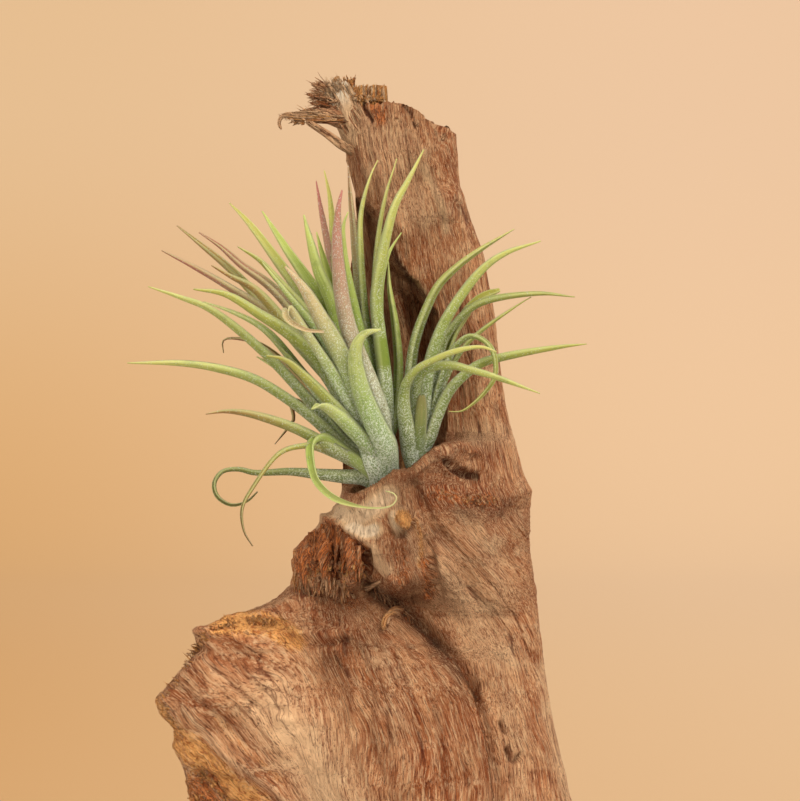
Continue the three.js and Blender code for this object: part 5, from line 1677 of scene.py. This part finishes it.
@dataclass
class Rosette:
    """A rosette of channelled leaves on its stock, which runs from foot to head, with leaves
    spread by rule on its far side.

    Each far_ pair but far_knee is a least value and how much a random share can add to it.
    """

    name: str
    node: str
    slot: str
    foot: Array
    head: Array
    leaves: tuple[Leaf, ...]
    far_count: int = 0
    far_turn: Span = (0.62, 0.48)
    far_jitter: float = 0.5
    far_lift: Span = (0.5, 0.65)
    far_length: Span = (42, 18)
    far_root: Span = (0.35, 0.5)
    far_knee: Span = (0.45, 5)
    far_width: Span = (2.9, 0.8)
    far_points: int = 6
    seed: int = 7
    root_below: float = 6
    root_span: Span = (0.12, 0.8)
    step_rate: float = 0.8
    step_limits: tuple[int, int] = (24, 90)
    facing_share: float = 0.6
    least_width: float = 0.34
    least_thickness: float = 0.3
    blade_thickness: float = 0.28
    channel_rise: float = 0.34
    channel_depth: float = 0.38
    outer_points: int = 9
    outer_half: float = 0.5
    outer_curve: float = 0.85
    inner_points: int = 7
    inner_half: float = 0.43
    inner_curve: float = 0.9
    inner_rise: float = 0.04
    tone_jitter: float = 0.05
    part_jitter: float = 0.015
    tone_stops: Point = (0.12, 0.5, 0.97)
    scurf_stops: Span = (0.1, 0.75)
    inner_scurf: float = 0.75
    rubbed_green: Colour = from_screen(122, 138, 44)
    rubbed_edge: float = 0.012
    strip_spread: float = 60

    def curve_of(self, leaf: Leaf) -> Array:
        """Draws a leaf's middle line from the stock to its tip.

        Args:
            leaf: the leaf.

        Returns:
            The points that the line passes through.
        """
        start, middle, end = leaf.reach
        handle = 2 * middle - (start + end) / 2
        path = np.reshape(leaf.path, (-1, 2))
        share = (path[0, 1] - self.foot[2] - self.root_below) / (self.head[2] - self.foot[2])
        root = self.foot + (self.head - self.foot) * np.clip(share, *self.root_span)
        along = np.linspace(0, 1, len(path))
        y = (1 - along) ** 2 * start + 2 * along * (1 - along) * handle + along**2 * end
        return np.vstack([root, np.stack([path[:, 0], y, path[:, 1]], axis=1)])

    def section_of(self, blade: Array) -> tuple[Array, Array, Array]:
        """Draws the channelled cross-section of a leaf at each step along it.

        Args:
            blade: its width at each step, one per row.

        Returns:
            How far each point of it lies across and up, and 1 for those on the leaf's back.
        """
        depth = np.maximum(self.least_thickness, blade * self.blade_thickness)
        rise, drop = blade * self.channel_rise, blade * self.channel_depth
        lip = self.inner_rise * blade
        outer = np.linspace(0, np.pi, self.outer_points)[None, :]
        inner = np.linspace(np.pi, 0, self.inner_points + 2)[None, 1:-1]
        across = np.concatenate([
            -self.outer_half * blade * np.cos(outer), -self.inner_half * blade * np.cos(inner),
        ], axis=1)
        up = np.concatenate([
            rise - (rise + drop) * np.sin(outer) ** self.outer_curve,
            rise + lip - (rise + drop - depth + lip) * np.sin(inner) ** self.inner_curve,
        ], axis=1)
        on_back = np.arange(across.shape[1]) < self.outer_points
        return across, up, on_back * np.ones(across.shape)

    def add_blade(self, skin: Skin, points: Array, leaf: Leaf, random: Random) -> None:
        """Adds one leaf's blade.

        Args:
            skin: the mesh that takes it.
            points: the points of its middle line.
            leaf: its width, its tone, its taper and where its scurf is rubbed off.
            random: where its small irregularities come from.
        """
        length = np.linalg.norm(np.diff(points, axis=0), axis=1).sum()
        steps = int(np.clip(length * self.step_rate, *self.step_limits))
        centres = smooth_path(points, steps)
        along = np.linspace(0, 1, steps + 1)
        axis = (self.head - self.foot) / np.linalg.norm(self.head - self.foot)
        out = centres[int(self.facing_share * steps)] - self.foot
        inward = out.dot(axis) * axis - out
        side, normal = carried_frames(centres, inward / np.linalg.norm(inward))
        blade = np.maximum(self.least_width, leaf.width * look_up(leaf.taper.value, along))[:, None]
        across, up, on_back = self.section_of(blade)
        rings = centres[:, None] + side[:, None] * across[..., None] + normal[:, None] * up[..., None]
        *tones, root_scurf, tip_scurf = leaf.tone.value
        shift = 1 + random.normal(0, self.tone_jitter) + random.normal(0, self.part_jitter, 3)
        stops = np.array([from_screen(*tone) for tone in tones]) * shift
        colour = np.stack([np.interp(along, self.tone_stops, part) for part in stops.T], axis=1)
        scurf = np.interp(along, self.scurf_stops, (root_scurf, tip_scurf))[:, None]
        scurf = scurf * (self.inner_scurf + (1 - self.inner_scurf) * on_back)
        if leaf.rubbed is not None:
            start, end = leaf.rubbed
            bare = smoothstep(along, start - self.rubbed_edge, start)
            bare *= smoothstep(-along, -end - self.rubbed_edge, -end)
            colour = colour + (np.array(self.rubbed_green) - colour) * bare[:, None]
            scurf = scurf * (1 - bare[:, None])
        strip = np.stack([across / blade, on_back, along[:, None] * length + 0 * across], axis=-1)
        skin.add_tube(rings, {
            "tone": np.broadcast_to(colour[:, None], rings.shape),
            "scurf": scurf,
            "edge": np.abs(across) / (self.outer_half * blade),
            "strip": strip + random.uniform(0, self.strip_spread),
        })

    def far_blades(self) -> list[tuple[Array, Leaf]]:
        """Spreads leaves over the rosette's far side by rule.

        Returns:
            The points and the leaf of each.
        """
        following = repeatable_random(self.seed)

        def drawn(least: float, spread: float) -> float:
            """Draws the next value."""
            return least + spread * following()

        blades = []
        for index in range(self.far_count):
            start, spread = self.far_turn
            turn = np.pi * (start + spread * (index + self.far_jitter * following()) / self.far_count)
            lift = drawn(*self.far_lift)
            length = drawn(*self.far_length)
            root = self.foot + (self.head - self.foot) * drawn(*self.far_root)
            flat = length * math.cos(lift)
            tip = root + (flat * math.cos(turn), flat * math.sin(turn), length * math.sin(lift))
            knee = root + (tip - root) * self.far_knee[0] + (0, 0, self.far_knee[1] * following())
            shares = np.linspace(0, 1, self.far_points)[:, None]
            bend = (1 - shares) ** 2 * root + 2 * shares * (1 - shares) * knee + shares**2 * tip
            blades.append((bend, Leaf(drawn(*self.far_width), (0, 0, 0), Tone.SILVER, ())))
        return blades

    def build(self, material: Material) -> Piece:
        """Makes the rosette.

        Args:
            material: the leaves' finish.

        Returns:
            The rosette's object.
        """
        random = np.random.default_rng(self.seed)
        skin = Skin()
        placed = [(self.curve_of(leaf), leaf) for leaf in self.leaves]
        for points, leaf in (*placed, *self.far_blades()):
            self.add_blade(skin, points, leaf, random)
        piece = skin.build(self.name, material, self.slot)
        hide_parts(self.node)
        return piece


def main_rosette() -> Rosette:
    """Describes the main rosette, leaf by leaf as it grows."""
    leaves = (
        Leaf(4.2, (-18, -27, -32), Tone.YELLOW, (-2, 112, -11, 118.6, -19.7, 127, -28.6, 133.7, -37, 138.6,
            -47.7, 141.7, -58, 143, -72.6, 143)),
        Leaf(4.2, (-17, -22, -20), Tone.YELLOW, (-5.7, 116, -19, 130, -33.7, 145.7, -49.4, 158.3, -58, 161.7,
            -67, 164.7)),
        Leaf(3.2, (-13, -8, -2), Tone.SILVER, (-6, 117, -15.7, 129.7, -24.3, 141, -32, 150.4, -36.3, 154,
            -43, 157.4, -51.7, 160.6)),
        Leaf(4.6, (-20, -30, -30), Tone.OLIVE, (-3, 117, -6.6, 125.4, -13, 135, -19, 144, -27, 151,
            -35.4, 156.6, -45, 162.3, -54, 163.8)),
        Leaf(3.9, (-16, -18, -14), Tone.RED, (-6, 122, -13.7, 137.7, -19.7, 145.7, -28.6, 154.3, -46, 165.7,
            -54.7, 170.6, -63.4, 175)),
        Leaf(3.8, (-12, -6, 2), Tone.BROWN, (-6, 124, -15.7, 139.7, -27, 151, -42.6, 168.3, -54, 178,
            -59.5, 182.4)),
        Leaf(4, (-13, -10, -8), Tone.RED, (-8, 130, -21.4, 151, -28.6, 160.6, -33.7, 165.7, -41, 171,
            -47, 176.3, -53, 180.3)),
        Leaf(4.6, (-18, -24, -26), Tone.BROWN, (-8, 126, -18.6, 142.6, -27, 152.6, -37, 164, -43.4, 167.4,
            -49, 170.6)),
        Leaf(3.8, (-10, -2, 8), Tone.YELLOW, (-8, 132, -17, 152.6, -29.4, 170, -39, 183, -44.6, 189)),
        Leaf(3.8, (-18, -22, -22), Tone.OLIVE, (-7, 130, -14.3, 147, -21.4, 156.3, -31, 167.4, -35.4, 172,
            -41.7, 176)),
        Leaf(2.6, (-20, -26, -28), Tone.SILVER, (-8, 134, -20, 153, -28, 163, -34.6, 171.4)),
        Leaf(4, (-15, -14, -10), Tone.HEART, (-7, 134, -14.3, 154, -19.7, 163, -27.7, 174.6, -35, 186.3)),
        Leaf(6.3, (-20, -34, -42), Tone.BLUSH, (-2.5, 115, -5, 124, -8.3, 134.3, -13, 145.7, -18, 155,
            -23, 164, -28, 170)),
        Leaf(6.6, (-21, -38, -47), Tone.BLUSH, (-3, 114, -6.6, 125.4, -11, 132.6, -16.3, 142, -22, 151,
            -27.2, 158.4, -27.4, 155.6, -22.3, 152.3, -17, 151.7), Taper.SLIM),
        Leaf(5.1, (-17, -20, -20), Tone.HEART, (-5, 128, -10, 142.6, -15.4, 160.6, -19, 169, -21.4, 178,
            -23, 185)),
        Leaf(1.8, (-14, -12, -10), Tone.DRY, (-8, 140, -15, 160, -19, 171, -21, 180)),
        Leaf(3.4, (-15, -16, -16), Tone.HEART, (-6, 136, -14.3, 162.6, -18.3, 176, -19.4, 180.3)),
        Leaf(3.1, (-12, -9, -6), Tone.ROSE, (-4, 134, -12.6, 161, -15.2, 172, -18.3, 187.4, -19.6, 195)),
        Leaf(3, (-12, -7, -5), Tone.YELLOW, (-5, 138, -13.2, 167, -14.6, 180, -15.7, 190.6, -17.3, 198)),
        Leaf(5.3, (-20, -33, -34), Tone.ROSE, (-1, 116, -1, 127, -3.7, 135.4, -10.6, 154.3, -13.3, 173.7,
            -13, 187, -12, 191.7)),
        Leaf(3.4, (-18, -26, -28), Tone.HEART, (-3, 135, -7.7, 155.4, -11.3, 173.4, -11.5, 182.3,
            -10.3, 185.7)),
        Leaf(3, (-14, -15, -17), Tone.PINK, (-3, 140, -7, 164, -9, 183.7, -10, 193.7, -10.4, 199)),
        Leaf(2.9, (-16, -19, -18), Tone.YELLOW, (-1.5, 135, -5, 152.6, -6.8, 173.4, -6.7, 186, -4, 196.3,
            -2, 200.6)),
        Leaf(2.7, (-14, -17, -18), Tone.YELLOW, (-0.5, 130, -2, 149.7, -3, 164, -1.6, 181, 0.3, 191,
            3.4, 201)),
        Leaf(4.7, (-18, -25, -24), Tone.YELLOW, (0.2, 116, 0.4, 135.4, -2.3, 161.4, -1.4, 169, 0.3, 178,
            3, 187.7, 6.6, 194.6, 11, 203.4), rubbed=(0.345, 0.42)),
        Leaf(3, (-16, -20, -20), Tone.HEART, (-1, 140, -1.4, 155.4, -1, 165.7, 1.3, 174.6, 4.7, 180)),
        Leaf(3.4, (-11, -9, -8), Tone.HEART, (2, 124, 4, 140.3, 3, 154.3, 1.3, 165, 1, 172)),
        Leaf(6.2, (-20, -36, -42), Tone.SILVER, (0.3, 113, 0, 119, -3, 125.4, -6.6, 134.3, -8.3, 142,
            -8, 147.4, -5.7, 151, -1, 152.3)),
        Leaf(5.2, (-19, -32, -44), Tone.SILVER, (0.3, 114, -4, 118.6, -9, 123.7, -14.6, 129, -18, 131,
            -20.4, 130)),
        Leaf(3.8, (-19, -34, -40), Tone.OLIVE, (-3, 116, -8.3, 123.7, -13, 129, -23, 139.4, -28.6, 144,
            -33.3, 145)),
        Leaf(3.4, (-18, -20, -14), Tone.SILVER, (-4.3, 116, -11.4, 121, -19, 131, -27, 139, -33.7, 147.4)),
        Leaf(4, (-18, -32, -38), Tone.BROWN, (-5.7, 113.6, -13, 117.7, -25, 124.3, -38, 128.6, -45, 129.4,
            -50.3, 128.6)),
        Leaf(3.8, (-17, -36, -44), Tone.TAIL, (-5.7, 113, -14.6, 117.6, -19.7, 119.4, -23, 119.7,
            -29.4, 117.7, -37, 108, -40, 102, -39.4, 95.7, -37, 91.6), Taper.SLIM),
        Leaf(4.6, (-15, -22, -27), Tone.LOOP, (-5.7, 110.6, -11, 110.9, -19, 111.6, -27, 112.3, -37, 112,
            -41.6, 113, -46, 112.3, -48.2, 109, -47.3, 105.4, -43.4, 103, -39, 104, -36, 106.7),
            Taper.BROAD),
        Leaf(3.9, (-19, -41, -43), Tone.CURL, (-4.3, 112, -11.4, 117.6, -17.7, 122, -20.6, 120.3, -20.6, 115,
            -19, 109.7, -14.6, 105.4, -8.3, 103, -2.3, 102.3, 2, 103, 3.4, 105, 2.6, 106.3, 0.3, 107),
            Taper.WHIP),
        Leaf(2.4, (-12, -6, -4), Tone.DRY, (-7, 118, -20, 134, -32, 146, -38, 149.3, -45.4, 150, -46.3, 149,
            -46, 146)),
        Leaf(2.2, (-12, -8, -10), Tone.DRY, (-6, 115, -18, 127, -26.6, 132.6, -26, 127, -27.6, 124.6,
            -31.3, 120)),
    )
    foot, head = np.array([0.6, -14.5, 103.9]), np.array([-6, -16.5, 130])
    return Rosette("main_rosette_leaves", "rosette_main", "silver_leaf", foot, head, leaves, far_count=11)


def side_rosette() -> Rosette:
    """Describes the side rosette, leaf by leaf as it grows."""
    leaves = (
        Leaf(5.2, (-18, -33, -38), Tone.YELLOW, (7.4, 117, 6.2, 123.7, 5.2, 131, 6, 137, 9, 141, 15, 144.3,
            21.4, 146.6, 27.4, 147.4, 31.4, 146), Taper.SLIM),
        Leaf(3.2, (-19, -31, -36), Tone.YELLOW, (8.6, 118, 9, 132.6, 9.2, 137.7, 11.7, 141, 18, 142.3,
            24, 141, 31, 139, 43.7, 134.4)),
        Leaf(4, (-18, -24, -26), Tone.STUB, (9.4, 117, 10, 127, 10.4, 134), Taper.BLUNT),
        Leaf(3.7, (-17, -24, -28), Tone.OLIVE, (11, 118, 13, 122, 15, 128, 18.3, 135, 22.3, 139.4, 27.4, 143,
            34.6, 145, 50.3, 147.7, 57, 148.4)),
        Leaf(3.4, (-16, -20, -22), Tone.YELLOW, (7, 120, 6.4, 128, 7, 140.3, 8.3, 149, 11, 157, 15, 165,
            20.6, 170.6, 26.6, 175, 36.6, 181)),
        Leaf(3.5, (-18, -25, -30), Tone.YELLOW, (10, 120, 11, 126, 12.6, 140.3, 14.3, 147.4, 18, 156,
            27.4, 169, 33.7, 173.7, 44, 177.4)),
        Leaf(3.2, (-16, -21, -24), Tone.OLIVE, (12, 125, 14, 138, 17, 150, 20.6, 155, 25, 159, 30, 161,
            44, 162.7, 53.7, 161.7)),
        Leaf(3, (-15, -17, -18), Tone.OLIVE, (13, 128, 20, 152, 26.6, 161, 32.6, 163.7), Taper.BLUNT),
        Leaf(2.2, (-17, -21, -22), Tone.OLIVE, (12, 122, 17, 138, 22.3, 147.4, 27.4, 152.3, 38, 159.7,
            41.4, 161.7)),
        Leaf(2.2, (-18, -30, -30), Tone.OLIVE, (12, 122, 16, 138, 19, 145.7, 21.4, 149, 24.4, 150.7,
            28.3, 149, 30.6, 145.7, 31, 139.4, 28.3, 135, 25, 131.7, 21.4, 129.4, 18, 129.4)),
        Leaf(2.6, (-14, -15.5, -16), Tone.OLIVE, (11.4, 122, 13.4, 132.6, 15.7, 142.6, 20, 151, 24.3, 157)),
    )
    foot, head = np.array([8.8, -14.5, 105.3]), np.array([11, -17, 126])
    return Rosette("side_rosette_leaves", "rosette_side", "green_leaf", foot, head, leaves)


# ---- studio


@dataclass(frozen=True)
class Light:
    """A distant soft light: its name, the direction in which it stands, its width in degrees,
    its strength on a surface that faces it, and its colour.
    """

    name: str
    towards: Point
    spread: float
    power: float
    colour: Colour


@dataclass
class Studio:
    """The sweep, the lights and the camera."""

    view_middle: Point = (4.286, 0, 132.43)
    view_width: float = 228.57
    view_distance: float = 2400
    view_end: float = 60000
    sensor: float = 36
    sweep_radius: float = 5200
    sweep_height: float = 5200
    sweep_bend: float = 1400
    sweep_sides: int = 96
    sweep_turns: int = 14
    sweep_shares: tuple[float, ...] = (0.001, 0.02, 0.08, 0.2, 0.45, 0.7, 1.0)
    lights: tuple[Light, ...] = (
        Light("key_light", (0.42, -0.66, 0.62), 44, 2.5, (1.0, 0.97, 0.92)),
        Light("fill_light", (-0.75, -0.6, 0.3), 70, 0.8, (1.0, 0.97, 0.94)),
        Light("back_light", (0.5, 0.7, 0.5), 60, 0.6, (1.0, 0.96, 0.9)),
    )
    air_colour: Colour = (1.0, 0.95, 0.89)
    air_strength: float = 0.75

    def lay_sweep(self) -> Piece:
        """Makes a round sweep of paper, flat in the middle and rising all round.

        Returns:
            The sweep's object.
        """
        flat = self.sweep_radius - self.sweep_bend
        profile = [(share * flat, 0.0) for share in self.sweep_shares]
        for turn in np.linspace(0, math.pi / 2, self.sweep_turns)[1:]:
            profile.append((flat + self.sweep_bend * math.sin(turn), self.sweep_bend * (1 - math.cos(turn))))
        profile.append((self.sweep_radius, self.sweep_height))
        sides = self.sweep_sides
        angles = np.linspace(0, 2 * math.pi, sides, endpoint=False)
        rings = [
            np.stack([radius * np.cos(angles), radius * np.sin(angles), np.full(sides, height)], axis=1)
            for radius, height in profile
        ]
        faces = [tuple(range(sides))]
        for low in range(0, (len(rings) - 1) * sides, sides):
            for side in range(sides):
                after = (side + 1) % sides
                faces.append((low + side, low + after, low + sides + after, low + sides + side))
        mesh = bpy.data.meshes.new("paper_sweep")
        mesh.from_pydata((np.vstack(rings) * MM).tolist(), [], faces)
        mesh.polygons.foreach_set("use_smooth", [True] * len(mesh.polygons))
        mesh.materials.append(StudioFinish().make())
        sweep = bpy.data.objects.new("paper_sweep", mesh)
        sweep.visible_shadow = False
        sweep.visible_diffuse = False
        bpy.context.scene.collection.objects.link(sweep)
        return sweep

    def add_light(self, light: Light) -> None:
        """Stands a light in its direction.

        Args:
            light: which light.
        """
        data = bpy.data.lights.new(light.name, "SUN")
        data.angle = math.radians(light.spread)
        data.energy = light.power
        data.color = light.colour
        lamp = bpy.data.objects.new(light.name, data)
        x, y, height = light.towards
        lamp.rotation_euler = (math.atan2(math.hypot(x, y), height), 0, math.atan2(y, x) + math.pi / 2)
        bpy.context.scene.collection.objects.link(lamp)

    def set_camera(self) -> None:
        """Stands the camera level in front of the plant, as the picture was framed."""
        data = bpy.data.cameras.new("camera")
        data.sensor_width = self.sensor
        data.sensor_fit = "HORIZONTAL"
        data.lens = self.sensor * self.view_distance / self.view_width
        data.clip_end = self.view_end * MM
        camera = bpy.data.objects.new("camera", data)
        x, y, height = self.view_middle
        camera.location = (x * MM, (y - self.view_distance) * MM, height * MM)
        camera.rotation_euler = (math.pi / 2, 0, 0)
        bpy.context.scene.collection.objects.link(camera)
        bpy.context.scene.camera = camera

    def build(self) -> None:
        """Sets up the studio."""
        self.lay_sweep()
        self.set_camera()
        for light in self.lights:
            self.add_light(light)
        world = bpy.data.worlds.new("studio_air")
        world.use_nodes = True
        air = world.node_tree.nodes["Background"]
        air.inputs["Color"].default_value = (*self.air_colour, 1)
        air.inputs["Strength"].default_value = self.air_strength
        bpy.context.scene.world = world
        bpy.context.scene.view_settings.view_transform = "Standard"


def main() -> None:
    """Builds the wood, the plant and the studio, and notes the sizes."""
    logging.basicConfig(level=logging.INFO, format="%(message)s")
    bare_wood, leaf_skin = DriftwoodFinish().make(), LeafFinish().make()
    wood = Driftwood()
    makers = (
        (wood, bare_wood), (BrokenFibres(wood), bare_wood),
        (main_rosette(), leaf_skin), (side_rosette(), leaf_skin),
    )
    for maker, finish in makers:
        piece = maker.build(finish)
        log.info("%s: %d faces", piece.name, len(piece.data.polygons))
    Studio().build()
    log.info("studio: ready")


if __name__ == "__main__":
    main()
